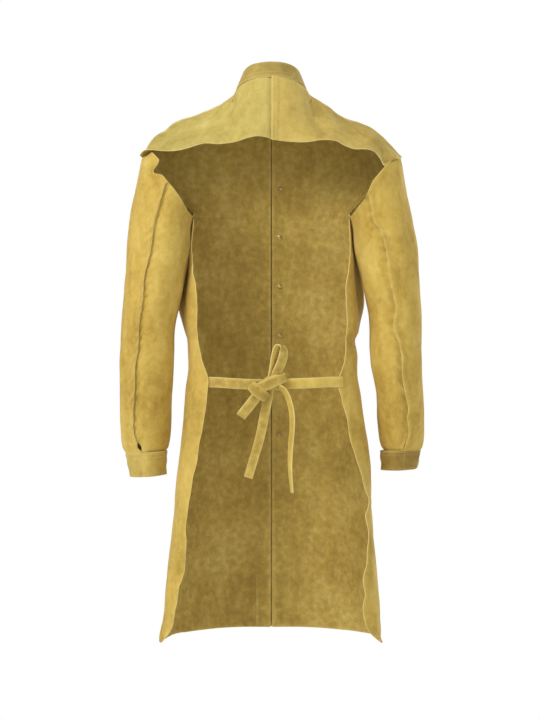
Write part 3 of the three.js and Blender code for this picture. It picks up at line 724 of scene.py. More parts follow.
# ---------------------------------------------------------------- straps: ties, bow and tails
def strap_shape(line, across, width, squeeze=None):
    """A flat strip along a line. u runs over its width from -1 to 1, and across gives that way along v."""
    def at(u, v, lift=0.0):
        u, v = np.broadcast_arrays(np.asarray(u, float), np.asarray(v, float))
        share = np.clip(v, 0, 1)
        place = line(share)
        step = 4e-3
        along = unit(line(np.clip(share + step, 0, 1)) - line(np.clip(share - step, 0, 1)))
        over = across(share)
        over = unit(over - along * np.sum(over * along, axis=-1, keepdims=True))
        facing = np.cross(along, over)
        half = width / 2 * (1 if squeeze is None else squeeze(share))
        swell = 1 - 0.35 * np.clip(np.abs(u), 0, 1) ** 4
        rise = lift * swell + 0.5 * small(place) + 0.25 * middling(place)
        return place + over * (u * half)[..., None] + facing * rise[..., None]
    return at


STRAP_COLUMNS = np.array([-1, -0.93, -0.75, -0.5, -0.25, 0, 0.25, 0.5, 0.75, 0.93, 1])
bow_rows = []


def add_strap(name, points, across, width, thickness=STRAP_HIDE, node=None, squeeze=None):
    """Returns the piece, its stitch rows on both faces, its shape and its length."""
    line = line_through(points)
    length = float(np.linalg.norm(np.diff(np.array(points, float), axis=0), axis=1).sum())
    shape = strap_shape(line, evenly_through(across), width, squeeze)
    piece = leather(name, shape, STRAP_COLUMNS, spaced(0, 1, length, 3.0), strap_hide, thickness, "coat",
                    node)
    along = np.linspace(3 / length, 1 - 3 / length, max(int(length / 4), 4))
    rows = [shape(np.full_like(along, 0.72), along, lift) for lift in (thickness / 2, -thickness / 2)]
    return piece, rows, shape, length


def add_tail(name, points, across, node):
    piece, rows, _, _ = add_strap(name, points, across, TAIL_WIDTH, TAIL_HIDE, node)
    bow_rows.extend(rows)
    path = line_through(points)(np.linspace(0, 1, 40)) * MM


add_tail("left_tail_strip",
         [(5, 39, -622), (8, 38, -645), (15, 37, -680), (21, 36, -712), (32, 36, -752), (46, 36, -799)],
         [(0.98, 0, 0.2), (0.97, -0.12, 0.25), (0.9, -0.35, 0.3), (0.86, -0.42, 0.35)], "left_tie_tail")
add_tail("right_tail_strip",
         [(-14, 46, -620), (-24, 48, -625), (-33, 47, -641), (-40, 45, -668), (-41, 43, -700),
          (-38, 41, -735), (-37, 40, -768), (-38, 40, -800), (-41, 40, -829)],
         [(-0.3, 0.8, 0.5), (-0.5, 0.8, 0.2), (-0.52, 0.85, 0.05), (-0.5, 0.86, 0), (-0.38, 0.92, 0),
          (-0.25, 0.96, 0)], "right_tie_tail")


# ---------------------------------------------------------------- body surfaces
def half_width(name, z):
    return through(BODY_HALF[name], z)


def edge_turn(name, z):
    share = np.clip(through(PANEL_EDGE[name], z) / half_width(name, z), 0, 1)
    return 90 + np.degrees(np.arccos(share ** (SQUARENESS / 2)))


def front_y(z):
    return CHEST_Y + (HEM_Y - CHEST_Y) * (CHEST_Z - z) / (CHEST_Z - HEM)


def section(name, z, turn):
    """A point on the horizontal section at z, turned from the middle of the front."""
    power = 2 / SQUARENESS
    turn = np.clip(turn, 0, 180)
    out = np.sin(np.radians(turn)) ** power
    along = np.cos(np.radians(turn))
    depth = np.where(along > 0, front_y(z) - MIDDLE_Y, BACK_DEPTH)
    return np.stack([half_width(name, z) * out, MIDDLE_Y + depth * np.abs(along) ** power, z + 0 * turn],
                    axis=-1)


def neck(turn):
    turn = np.radians(np.asarray(turn, float))
    back = np.cos(turn)
    x = NECK_HALF[0] * np.sin(turn)
    y = NECK_BACK_Y - NECK_HALF[1] + NECK_HALF[1] * back
    return np.stack([x, y, -25 + 35 * back - 10 * back * back], axis=-1)


def armhole(turn):
    """Turned from the shoulder tip, first towards the front."""
    turn = np.radians(np.asarray(turn, float))
    up = ARMHOLE_HALF[0] * np.cos(turn)
    ahead = ARMHOLE_HALF[1] * np.sin(turn)
    return ARMHOLE_MIDDLE + up[..., None] * ARMHOLE_UP - ahead[..., None] * np.array([0, 1, 0])


def shoulder_line(name):
    start = neck(NECK_POINT)
    points = [start]
    for out, down in SHOULDER[name]:
        x, y = (start + (SHOULDER_TIP - start) * out)[:2]
        points.append([x, y, start[2] + (SHOULDER_TIP[2] - start[2]) * down])
    return line_through(points + [SHOULDER_TIP])


def neck_and_shoulder(name, start_turn, share):
    line = shoulder_line(name)

    def at(u):
        on_neck = neck(start_turn + (NECK_POINT - start_turn) * np.clip(u / share, 0, 1))
        on_shoulder = line(np.clip((u - share) / (1 - share), 0, 1))
        return np.where((u < share)[..., None], on_neck, on_shoulder)
    return at


def front_panel(name):
    """v runs from the neck (0) by the armpit (1) to the hem (2), and u from the middle to the back edge."""
    def row(z, u):
        open_turn = np.degrees(np.arcsin((FRONT_GAP / half_width(name, z)) ** (SQUARENESS / 2)))
        return section(name, z, open_turn + (edge_turn(name, z) - open_turn) * u)

    top_point = neck(178)
    middle = [top_point, [FRONT_GAP, top_point[1] + (CHEST_Y - top_point[1]) * 0.72,
                          top_point[2] + (CHEST_Z - top_point[2]) * 0.45],
              [FRONT_GAP, CHEST_Y, CHEST_Z], [FRONT_GAP, front_y(ARMPIT), ARMPIT]]
    middle_rows = [[(k / 3, p[axis]) for k, p in enumerate(middle)] for axis in range(3)]
    chest = spanned(neck_and_shoulder(name, 178, 0.42), lambda u: row(np.full_like(u, ARMPIT), u),
                    lambda v: np.stack([through(rows, v) for rows in middle_rows], axis=-1),
                    lambda v: armhole(180 * v))
    chest = extended(chest)

    def at(u, v):
        u, v = np.broadcast_arrays(np.asarray(u, float), np.asarray(v, float))
        fall = np.clip(v - 1, 0, 1.02)
        rise = FRONT_HEM_RISE * (1 - smooth(0.05, 0.95, u)) * fall ** 3
        below = row(ARMPIT + (HEM - ARMPIT) * fall + rise, np.clip(u, 0, 1))
        return np.where((v < 1)[..., None], chest(u, np.minimum(v, 1)), below)
    return at


def calm_front(place):
    """Little drape near the front opening, where the flap and the snaps lie flat."""
    near = 1 - smooth(34, 95, np.abs(place[..., 0]))
    return 1 - 0.85 * near * (place[..., 1] < MIDDLE_Y)


edge_ripple = dents(21, 130, 1.0, upright=0.45)
edge_curl = dents(22, 46, 1.0, upright=0.4)
hem_ripple = dents(23, 120, 1.0)


def panel_extra(name):
    seed_shift = 400.0 if name == "right" else 0.0

    def at(u, v, place):
        z = place[..., 2]
        away = (1 - u) * PANEL_REACH
        moved = place + np.array([seed_shift, seed_shift, 0])
        below = smooth(1.0, 1.12, v)
        waves = 1.7 * edge_ripple(moved) + 0.35 * edge_curl(moved) + 0.8
        flare = below * np.exp(-(away / 34) ** 1.5) * waves
        foot = smooth(HEM + 190, HEM, z) * (2.4 * hem_ripple(moved) + 2.0)
        phase = 0 if name == "left" else 1.3
        drape = below * smooth(20, 90, away) * 3.2 * np.sin(away / 27 + 0.004 * z + phase)
        drape = drape * smooth(-420, -900, z) * (place[..., 1] > MIDDLE_Y - 90)
        tuck = -1.7 * smooth(0.02, 0.0, v)
        tie_pull = -4.0 * np.exp(-((z - TIE_Z) / 26) ** 2) * np.exp(-(away / 40) ** 2)
        beside = smooth(-68, -100, place[..., 1]) * smooth(-182, -132, place[..., 1])
        billow = through(BILLOW, z) * beside
        return flare + foot + drape + tuck + tie_pull + billow
    return at


panels = {}


def add_front(name):
    shape = flipped(worn(front_panel(name), BODY_PLACE, panel_extra(name), calm_front), SIDES[name])
    panels[name] = shape
    chest, skirt = spaced(-0.022, 1, CHEST_RUN, GRAIN_PITCH), spaced(1, 2, ARMPIT - HEM, GRAIN_PITCH)
    piece = leather(f"{name}_front_leather", shape, spaced(0, 1, PANEL_GRID, GRAIN_PITCH),
                    np.concatenate([chest[:-2], skirt[2:]]), hide, body="coat", node=f"{name}_front_panel")


for name in SIDES:
    add_front(name)


# ---------------------------------------------------------------- back yoke
def yoke(name):
    corner = armhole(-YOKE_TURN[name])
    edge = line_through(YOKE_EDGE[name][:-1] + [tuple(corner)])
    top = neck(0.4)
    foot = np.array(YOKE_EDGE[name][0], float)
    middle = np.array([0.4, 33, -63.0])

    def back_seam(v):
        v = np.asarray(v, float)[..., None]
        return top * (1 - v) ** 2 + middle * 2 * v * (1 - v) + foot * v * v
    surface = spanned(neck_and_shoulder(name, 0.4, 0.34), edge, back_seam,
                      lambda v: armhole(-YOKE_TURN[name] * v))
    return extended(surface)


yoke_wave = dents(31, 95, 1.0)


def yoke_extra(name):
    laps_over = name == "right"
    creases = {
        "left": [fold(60, -60, 150, -110, 16, 1.5), fold(175, -95, 235, -135, 12, -2.2),
                 fold(150, -128, 225, -138, 10, 1.8), fold(225, -112, 245, -140, 7, 2.2)],
        "right": [fold(-70, -45, -150, -105, 16, 1.5), fold(-150, -112, -215, -150, 9, -2.5),
                  fold(-165, -95, -235, -140, 12, 1.6), fold(-205, -120, -240, -165, 8, 2.4)],
    }[name]
    side = SIDES[name]

    def at(u, v, place):
        from_seam = u * YOKE_WIDTH
        from_neck = v * YOKE_FALL
        from_edge = (1 - v) * YOKE_FALL
        if laps_over:
            seam = 1.9 * (1 - smooth(LAP, LAP + 6, from_seam))
            welt = 1.5 * np.exp(-((from_seam - 2.5) / 2.6) ** 2)
        else:
            seam = -1.9 * np.exp(-((from_seam - 1) / 4) ** 2)
            welt = 0.0
        shoulder = 1.6 * (1 - smooth(8, 14, from_neck)) * smooth(0.33, 0.36, u)
        under_collar = -1.4 * (1 - smooth(2, 7, from_neck)) * (1 - smooth(0.33, 0.35, u))
        seen = place * np.array([side, 1, 1])
        flare = np.exp(-(from_edge / 26) ** 2) * (2.2 * yoke_wave(seen) + 2.0)
        rumple = sum(crease(seen) for crease in creases)
        neck_roll = 5.0 * np.exp(-((from_neck - 15) / 10) ** 2) * smooth(0.16, 0.27, u)
        neck_roll = neck_roll * (1 - smooth(0.38, 0.55, u))
        curl = 5.5 * smooth(0.78, 0.93, u) * np.exp(-(from_edge / 11) ** 2)
        return seam + welt + shoulder + under_collar + flare + rumple + neck_roll + curl
    return at


seam_rows = []


def rows_down(shape, along, insets, width, from_end=False):
    """Stitch rows down a shape, each at an inset from its u edge at 0, or from the one at 1."""
    shares = [1 - inset / width if from_end else inset / width for inset in insets]
    return [shape(np.full_like(along, share), along, HIDE / 2) for share in shares]


def add_yoke(name):
    shape = flipped(worn(yoke(name), np.array([0, MIDDLE_Y, -140.0]), yoke_extra(name)), SIDES[name])
    start = 0.0 if name == "right" else -6 / YOKE_WIDTH
    fine_end = 12 / YOKE_WIDTH
    columns = np.concatenate([np.linspace(start, fine_end, 14)[:-1], spaced(fine_end, 1, 250, 3.0, 9.0)])
    material = pale_hide if name == "left" else warm_hide
    piece = leather(f"{name}_yoke_leather", shape, columns, spaced(0, 1, YOKE_GRID, 2.6), material,
                    body="coat", node=f"{name}_back_yoke")
    centre_insets = (ROW_INSET, ROW_INSET + ROW_GAP)
    armhole_insets = (4, 4 + ROW_GAP)
    if name == "right":
        seam_rows.extend(rows_down(shape, np.linspace(0.03, 0.985, 60), centre_insets, YOKE_WIDTH))
    across = np.linspace(0.355, 0.985, 70)
    for inset in centre_insets:
        seam_rows.append(shape(across, np.full_like(across, inset / YOKE_GRID), HIDE / 2))
    down = np.linspace(0.02, 0.98, 110)
    seam_rows.extend(rows_down(panels[name], down, armhole_insets, ARMHOLE_REACH, from_end=True))
    down = np.linspace(0.04, 0.98, 30)
    seam_rows.extend(rows_down(shape, down, armhole_insets, YOKE_WIDTH, from_end=True))


for name in SIDES:
    add_yoke(name)


# ---------------------------------------------------------------- collar
def collar(turn, rise):
    base = neck(turn)
    inward = 1 - COLLAR_LEAN / NECK_HALF[0] * rise
    middle_y = NECK_BACK_Y - NECK_HALF[1]
    return np.stack([base[..., 0] * inward, middle_y + (base[..., 1] - middle_y) * inward,
                     base[..., 2] + COLLAR_HEIGHT * rise], axis=-1)


NECK_PLACE = np.array([0.0, NECK_BACK_Y - NECK_HALF[1], -25.0])
COLLAR_END = 172.0
collar_wave = dents(41, 48, 0.5)


def collar_shape(offset, lift_at_top):
    """u runs round the neck from the right end to the left one."""
    def surface(u, v):
        return collar(-COLLAR_END + 2 * COLLAR_END * u, v)

    def extra(u, v, place):
        return offset + lift_at_top * smooth(0.8, 1.0, v) + collar_wave(place) * smooth(0.1, 0.9, v)
    return worn(surface, NECK_PLACE, extra, lambda place: 0.3)


collar_out = collar_shape(0.95, -0.25)
collar_in = collar_shape(-0.85, 0.25)
round_neck = spaced(0, 1, COLLAR_ROUND, 3.4)
piece = leather("collar_leather", collar_out, round_neck, spaced(-0.06, 1.0, 31, 2.6), collar_hide,
                body="coat", node="collar_outer")
piece = leather("collar_lining_leather", collar_in, round_neck, spaced(0.02, 1.0, 29, 2.8), pale_hide,
                THIN_HIDE, "coat", "collar_lining")
along = np.linspace(0.008, 0.992, 220)
seam_rows += [collar_out(along, np.full_like(along, rise), HIDE / 2) for rise in (0.07, 0.3, 0.9)]
seam_rows += [collar_in(along, np.full_like(along, 0.9), -THIN_HIDE / 2)]


def collar_tab_extra(u, v, place):
    """The tab is sewn down at its root and lies a snap's height off the collar at its end."""
    return 0.95 + 1.75 + 3.1 * smooth(0.18, 0.62, u)


def collar_tab_surface(u, v):
    return collar(168 + 34 * u, 0.17 + 0.66 * v)


tab_root = collar(172.0, 0.5) * MM
tab_bend_end = collar(180.0, 0.5) * MM
tab_shape = worn(collar_tab_surface, NECK_PLACE, collar_tab_extra, lambda place: 0.15)
tab_body = ("coat", "throat_closure", tuple(tab_root), tuple(tab_bend_end))
piece = leather("collar_tab_leather", tab_shape, spaced(0, 1, 42, 2.2), spaced(0, 1, 20, 2.2), warm_hide,
                2.2, tab_body, "collar_tab")


def rectangle_rows(shape, u0, u1, v0, v1, lift, count=14):
    """A stitched rectangle on a shape."""
    a, b = np.linspace(u0, u1, count), np.linspace(v0, v1, count)
    loop_u = np.concatenate([a, np.full(count, u1), a[::-1], np.full(count, u0)])
    loop_v = np.concatenate([np.full(count, v0), b, np.full(count, v1), b[::-1]])
    return [shape(loop_u, loop_v, lift)]


stitches("collar_tab_stitches", rectangle_rows(tab_shape, 0.05, 0.95, 0.12, 0.88, 1.1), tab_body, pitch=3.4)


# ---------------------------------------------------------------- hanger loop
def hanger_shape():
    half, end = 30.3, 6.4
    points = [(-half, end, 0), (-half, 3, 0), (-half + 0.3, 0.6, 0), (-half + 2.4, -0.75, 0),
              (-20, -0.75, 0), (0, -0.75, 0), (20, -0.75, 0), (half - 2.4, -0.75, 0), (half - 0.3, 0.6, 0),
              (half, 3, 0), (half, end, 0)]
    line = line_through(points)

    def at(u, v, lift=0.0):
        u, v = np.broadcast_arrays(np.asarray(u, float), np.asarray(v, float))
        along = unit(line(np.clip(v + 4e-3, 0, 1)) - line(np.clip(v - 4e-3, 0, 1)))
        facing = np.cross(along, np.array([0, 0, 1.0]))
        place = line(v) + u[..., None] * np.array([0, 0, 4.0])
        return place + facing * (lift * (1 - 0.3 * np.abs(u) ** 4))[..., None]
    return at


hanger = hanger_shape()
leather("hanger_loop_leather", hanger, np.array([-1, -0.9, -0.6, -0.3, 0, 0.3, 0.6, 0.9, 1]),
        spaced(0, 1, 74, 1.6), hide, 1.5, "coat", "hanger_loop")
along = np.linspace(0.1, 0.9, 40)
seam_rows += [hanger(np.full_like(along, edge), along, lift) for edge in (-0.62, 0.62)
              for lift in (0.75, -0.75)]


# ---------------------------------------------------------------- sleeves
def sleeve_row(name, column, t):
    return through([(row[0], row[column]) for row in SLEEVE[name]], t)


def sleeve(name):
    """turn is 0 at the outer side, 90 behind and 180 at the body; t runs from the armhole to the cuff."""
    def at(turn, t):
        turn, t = np.broadcast_arrays(np.asarray(turn, float), np.asarray(t, float))
        low = np.clip(t, 0, 1)
        x, y, z, wide, deep = (sleeve_row(name, column, low) for column in range(1, 6))
        across = unit(mixed(ARMHOLE_UP, np.array([1.0, 0, 0]), smooth(0, 0.3, low)))
        out = wide * np.cos(np.radians(turn))
        back = deep * np.sin(np.radians(turn))
        place = np.stack([x, y + back, z], axis=-1) + across * out[..., None]
        return place + ARMHOLE_AXIS * (np.maximum(-t, 0) * SLEEVE_LENGTH)[..., None]
    return at


def seam_turn(name, t):
    return through(BACK_SEAM[name], sleeve_row(name, 3, np.clip(t, 0, 1)))


def sleeve_top(name, turn):
    """The upper edge: tucked inside the coat where it is sewn, and free behind the arm."""
    sewn = 1 - smooth(YOKE_TURN[name] - 4, YOKE_TURN[name] + 8, turn) * (1 - smooth(184, 200, turn))
    if name == "left":
        spare = 0.04 * smooth(24, 32, turn) * (1 - smooth(57.5, 65, turn))
        spare = spare + 0.013 * smooth(69, 78, turn) * (1 - smooth(100, 150, turn))
        notch = 0.004 * np.exp(-((turn - 66) / 3) ** 2)
    else:
        spare = 0.021 * smooth(42, 50, turn) * (1 - smooth(86, 120, turn))
        notch = 0.0
    return -0.014 * sewn - spare + notch


SLEEVE_FOLDS = {
    "left": [fold(258, -168, 232, -196, 7, 4.0), fold(250, -150, 226, -176, 5, -3.0),
             fold(236, -205, 246, -300, 14, 1.8), fold(276, -452, 232, -520, 15, 2.2),
             fold(284, -500, 244, -530, 12, -2.4), fold(290, -560, 238, -600, 16, 2.0),
             fold(230, -640, 262, -700, 11, 1.8), fold(276, -600, 284, -720, 13, -1.6),
             fold(228, -700, 244, -748, 7, 1.8), fold(262, -712, 258, -750, 6, -2.0),
             fold(280, -705, 272, -748, 7, 1.6), fold(214, -330, 226, -470, 16, 2.0)],
    "right": [fold(-232, -176, -176, -250, 10, 2.6), fold(-226, -190, -200, -262, 9, -1.8),
              fold(-250, -240, -262, -330, 16, 1.6), fold(-214, -430, -262, -478, 11, 2.6),
              fold(-210, -452, -266, -498, 9, -2.2), fold(-222, -505, -290, -560, 15, 2.0),
              fold(-262, -520, -284, -600, 12, -1.8), fold(-246, -600, -292, -664, 10, 2.4),
              fold(-226, -580, -240, -680, 14, 1.6), fold(-238, -690, -250, -745, 6, 1.8),
              fold(-262, -700, -266, -748, 6, -2.0), fold(-284, -690, -280, -745, 7, 1.8)],
}
pucker = dents(51, 17, 1.0)


def sleeve_extra(name, layer):
    """Seam laps, puckers beside the thread, folds behind the arm and the tucks at both ends."""
    side = SIDES[name]

    def at(turn, t, place):
        radius = sleeve_row(name, 4, np.clip(t, 0, 1))
        from_seam = (turn - seam_turn(name, t)) * np.pi / 180 * radius
        seen = place * np.array([side, 1, 1])
        behind = smooth(-20, 25, place[..., 1] - sleeve_row(name, 2, np.clip(t, 0, 1)))
        rumple = behind * sum(crease(seen) for crease in SLEEVE_FOLDS[name])
        rumple = rumple * (1 - np.exp(-(from_seam / 7) ** 2) * 0.4)
        lap = layer * (1 - smooth(LAP, LAP + 6, np.abs(from_seam)))
        if layer > 0:
            welt = 1.9 * np.exp(-((from_seam + 3) / 4) ** 2)
        else:
            welt = -2.2 * np.exp(-((from_seam - 3) / 4.5) ** 2)
        gather = 1.2 * pucker(place) * np.exp(-(from_seam / 16) ** 2)
        if name == "right":
            gather = gather * 1.5
        armhole_tuck = -1.9 * (1 - smooth(-0.002, 0.03, t))
        free = smooth(YOKE_TURN[name], YOKE_TURN[name] + 30, turn) * (1 - smooth(150, 190, turn))
        armhole_tuck = armhole_tuck * (1 - free)
        flare = free * 2.6 * np.exp(-(np.maximum(t, 0) * SLEEVE_LENGTH / 22) ** 2)
        seen_part = 1 - smooth(0.955, 0.985, t)
        cuff_tuck = -CUFF_TUCK[name] * smooth(0.974, 0.986, t)
        return (lap + welt + gather + rumple) * seen_part + armhole_tuck + flare + cuff_tuck
    return at


def sleeve_panel(name, from_turn, to_turn, extra):
    """The panel's own u and v, each from 0 to 1; the turn runs between two seams."""
    tube = sleeve(name)

    def parts(u, v):
        u, v = np.broadcast_arrays(np.asarray(u, float), np.asarray(v, float))
        start, end = from_turn(v), to_turn(v)
        turn = start + (end - start) * u
        top = sleeve_top(name, turn)
        return turn, top + (1.012 - top) * v
    return flipped(worn(lambda u, v: tube(*parts(u, v)), np.array([245.0, -66, -480]),
                        lambda u, v, place: extra(*parts(u, v), place)), SIDES[name])


def sleeve_bend(name):
    side = SIDES[name]
    start = ARMHOLE_MIDDLE * np.array([side, 1, 1]) * MM
    out = -ARMHOLE_AXIS * np.array([side, 1, 1])
    return ("coat", f"{name}_arm", tuple(start), tuple(start + out * 0.15))


def add_sleeve(name):
    bend = sleeve_bend(name)
    slit = 4.0 if name == "left" else 0.5

    def opening(v):
        return slit * np.exp(-((v - 0.958) / 0.012) ** 2) + 0.7 * smooth(0.945, 0.96, v)

    def lapped_edge(v):
        return seam_turn(name, v) - LAP_TURN * (1 - smooth(0.925, 0.945, v)) + opening(v)

    outer = sleeve_panel(name, lambda v: INNER_SEAM - 360 + 0 * v, lambda v: seam_turn(name, v) - opening(v),
                         sleeve_extra(name, 1.3))
    under = sleeve_panel(name, lapped_edge, lambda v: INNER_SEAM + 0 * v, sleeve_extra(name, -1.1))
    down = spaced(0, 1, SLEEVE_GRID, 3.6)
    piece = leather(f"{name}_sleeve_outer_leather", outer, spaced(0, 1, OUTER_WIDTH, 3.4), down, sleeve_hide,
                    body=bend, node=f"{name}_sleeve_outer")
    piece = leather(f"{name}_sleeve_under_leather", under, spaced(0, 1, UNDER_WIDTH, 3.4), down, sleeve_hide,
                    body=bend, node=f"{name}_sleeve_under")
    along = np.linspace(0.01, 0.93, 190)
    rows = rows_down(outer, along, (ROW_INSET, ROW_INSET + ROW_GAP), OUTER_WIDTH, from_end=True)
    rows.append(outer(0.012 + 0 * along, along, HIDE / 2))
    bar = np.linspace(0, 1, 6)
    for low in (0.93, 0.932):
        rows.append(outer(1 - (1 + 9 * bar) / OUTER_WIDTH, np.full_like(bar, low), HIDE / 2))
    stitches(f"{name}_sleeve_stitches", rows, bend)


for name in SIDES:
    add_sleeve(name)


# ---------------------------------------------------------------- cuffs
def cuff_surface(name, grow=0.0):
    """u is the turn and v the share of the cuff's height from its top."""
    size = CUFF[name]

    def at(turn, v):
        turn, v = np.broadcast_arrays(np.asarray(turn, float), np.asarray(v, float))
        wide = size["wide"][0] + (size["wide"][1] - size["wide"][0]) * v + grow
        deep = size["deep"][0] + (size["deep"][1] - size["deep"][0]) * v + grow
        x = size["x"] + size["shift"] * v + wide * np.cos(np.radians(turn))
        y = CUFF_Y + deep * np.sin(np.radians(turn))
        tip = 3.0 * np.cos(np.radians(turn)) * (1 if name == "left" else -0.4)
        z = size["top"] + (size["bottom"] - size["top"]) * v - tip
        return np.stack([x, y, z - 2.5 * np.sin(np.radians(turn)) * v], axis=-1)
    return at


cuff_wave = dents(61, 36, 0.6)


def ranged(surface, u0, u1, v0=0.0, v1=1.0, slant=0.0):
    """The part of a surface between two turns and two heights, as u and v from 0 to 1."""
    return lambda u, v: surface(u0 + (u1 + slant * v - u0) * u, v0 + (v1 - v0) * v)


def cuff_calm(place):
    return 0.35


def cuff_extra(u, v, place):
    return cuff_wave(place) * smooth(0, 0.3, v) + 0.7 * np.exp(-((v - 0.5) / 0.3) ** 2)


def cuff_tab_extra(u, v, place):
    """The tab lies over its patches and lifts a little at its end."""
    return 3.3 * smooth(0.0, 0.2, u) + 1.2 + 0.6 * cuff_wave(place) * u + 1.8 * smooth(0.7, 1, u)


def add_cuff(name):
    side = SIDES[name]
    middle = np.array([CUFF[name]["x"], CUFF_Y, -775.0])
    base = cuff_surface(name)
    arm, closure = f"{name}_arm", f"{name}_cuff_closure"
    # The right cuff takes the darker suede, which paints in the shade the cuff sits in.
    material = warm_hide if name == "left" else shaded_hide

    def on_cuff(surface, extra):
        return flipped(worn(surface, middle, extra, cuff_calm), side)

    ring = on_cuff(ranged(base, CUFF_SLIT - 357, CUFF_SLIT - 3), cuff_extra)
    piece = leather(f"{name}_cuff_leather", ring, spaced(0, 1, CUFF_GRID[0], 3.0),
                    spaced(0, 1, CUFF_GRID[1], 2.4), material, CUFF_HIDE, arm, f"{name}_cuff")
    round_cuff = np.linspace(0.015, 0.985, 130)
    rows = [ring(round_cuff, np.full_like(round_cuff, place), CUFF_HIDE / 2) for place in (0.07, 0.2, 0.92)]
    stitches(f"{name}_cuff_stitches", rows, arm)

    tab = on_cuff(ranged(base, TAB_ROOT, TAB_END, slant=TAB_SLANT), cuff_tab_extra)
    root = TAB_HINGE * np.array([side, 1, 1])
    bend = (arm, closure, tuple(root), tuple(root + np.array([-TAB_BEND * side, 0.0, 0])))
    piece = leather(f"{name}_cuff_tab_leather", tab, spaced(0, 1, TAB_GRID[0], 2.4),
                    spaced(-0.01, 1.0, TAB_GRID[1], 2.4), material, CUFF_HIDE, bend,
                    f"{name}_cuff_tab")
    out = np.linspace(0.0, 0.94, 22)
    rows = [tab(out, np.full_like(out, place), CUFF_HIDE / 2) for place in (0.07, 0.2, 0.93)]
    low = np.linspace(0.07, 0.93, 14)
    rows += [tab(np.full_like(low, 0.94), low, CUFF_HIDE / 2)]
    stitches(f"{name}_cuff_tab_stitches", rows, bend)

    under_tab = ranged(base, TAB_ROOT + 22, TAB_END - 6, 0.25, 0.75)
    for which, lift, carrier in (("loop", 1.75, arm), ("hook", 2.35, closure)):
        patch = on_cuff(under_tab, lambda u, v, place, lift=lift: lift)
        leather(f"{name}_{which}_pile", patch, spaced(0, 1, 38, 3), spaced(0, 1, 22, 3), pile, 0.5, carrier,
                f"{name}_{which}_patch")


for name in SIDES:
    add_cuff(name)


# ---------------------------------------------------------------- waist ties and bow
TIE_ROW = 1 + (ARMPIT - TIE_Z) / (ARMPIT - HEM)
WAIST_STRAP = {
    "left": {"sewn": 22.0, "face": -1, "droop": (0.0, -4.5), "end": (14, 40.0, -615.0)},
    "right": {"sewn": 11.0, "face": 1, "droop": (0.5, -3.0), "end": (-8, 40.0, -615.0)},
}


def waist_strap_points(name):
    """From its sewn end on the panel's own surface, round the back to the knot."""
    plan = WAIST_STRAP[name]
    against = plan["face"] * (HIDE / 2 + STRAP_HIDE / 2 + 0.5)
    points = [panels[name](np.array(1 - reach / PANEL_WIDTH), np.array(TIE_ROW), against)
              for reach in (plan["sewn"], plan["sewn"] / 2, 1.5)]
    turns = np.linspace(edge_turn(name, TIE_Z) + 9, 169.0, 7)
    start, end = plan["droop"]
    for turn, share in zip(turns, np.linspace(0.12, 1, len(turns))):
        here = section(name, np.array(TIE_Z), np.array(turn))
        ahead = section(name, np.array(TIE_Z), np.array(turn + 0.5))
        lifted = unit(np.cross(ahead - here, np.array([0, 0, 1.0])))
        lifted = lifted * np.sign(lifted[1]) if abs(lifted[1]) > 0.2 else lifted
        place = here + lifted * (-2.0 + 5.4 * smooth(0, 0.6, share))
        place[2] += start + (end - start) * share
        points.append(place * np.array([SIDES[name], 1, 1]))
    return points + [np.array(plan["end"])]


def add_waist_strap(name):
    """A strap with a stitched box and cross at its sewn end."""
    piece, rows, shape, length = add_strap(f"{name}_waist_strap", waist_strap_points(name),
                                           [(0, 0, -1), (0, 0, -1)], WAIST_TIE_WIDTH,
                                           node=f"{name}_waist_tie")
    bow_rows.extend(rows)
    start, end = 3 / length, 24 / length
    bow_rows.extend(rectangle_rows(shape, -0.8, 0.66, start, end, STRAP_HIDE / 2, 8))
    cross = np.linspace(0, 1, 10)
    down = start + (end - start) * cross
    bow_rows.append(shape(-0.8 + 1.46 * cross, down, STRAP_HIDE / 2))
    bow_rows.append(shape(0.66 - 1.46 * cross, down, STRAP_HIDE / 2))


def add_loop(name, points, across, node):
    piece, rows, _, length = add_strap(name, points, across, LOOP_WIDTH, node=node)
    bow_rows.extend(rows)


for name in SIDES:
    add_waist_strap(name)
add_loop("bow_upper_loop_strap",
         [(4, 42, -608), (1, 43.5, -594), (-2, 45, -578), (-4.5, 46.5, -562), (-8, 48, -548),
          (-14, 49, -539.5), (-20, 48.5, -541), (-24, 47, -550), (-22.5, 46, -562), (-17.5, 45, -576),
          (-11, 44.5, -590), (-6, 43, -604)],
         [(0.5, 0.86, 0), (0.5, 0.86, 0.05), (0.5, 0.8, 0.3), (0.8, 0.5, 0.25), (0.92, 0.3, 0.05),
          (0.93, 0.25, -0.1)], "bow_upper_loop")
add_loop("bow_lower_loop_strap",
         [(18, 46, -621), (30, 48.5, -638), (43, 50, -655), (54, 50, -669), (60, 48, -677),
          (60.5, 45, -678), (57, 43, -673), (46, 41.5, -660), (33, 41, -643), (20, 41, -625)],
         [(0.8, 0, 0.6)] * 3, "bow_lower_loop")


def knot_shape():
    """The knot: a strap wound round the two ties, its turns lying on each other."""
    centre = np.array([6, 40, -614.0])
    tilt = math.radians(27)
    along = np.array([-math.cos(tilt), 0, math.sin(tilt)])
    up = np.array([math.sin(tilt), 0, math.cos(tilt)])
    out = np.array([0, 1.0, 0])

    def at(u, v, lift=0.0):
        u, v = np.broadcast_arrays(np.asarray(u, float), np.asarray(v, float))
        angle = 2 * np.pi * u
        s = 2 * v - 1
        body = (1 - np.clip(np.abs(s), 0, 0.999) ** 2.6) ** 0.5
        lean = angle - 1.1 * s
        turns = 0.9 * np.cos(lean + 0.4) + 0.7 * np.sin(2 * lean + 2.1 * s)
        turns = turns + 0.8 * np.tanh(9 * np.sin(3.1 * s + 0.6 * np.sin(lean)))
        tall = 13.2 * body + turns * body
        deep = 11.5 * body + turns * body
        place = centre + along * (s * 30)[..., None] + up * (tall * np.cos(angle))[..., None]
        return place + out * (deep * np.sin(angle) + 3.5)[..., None]
    return at


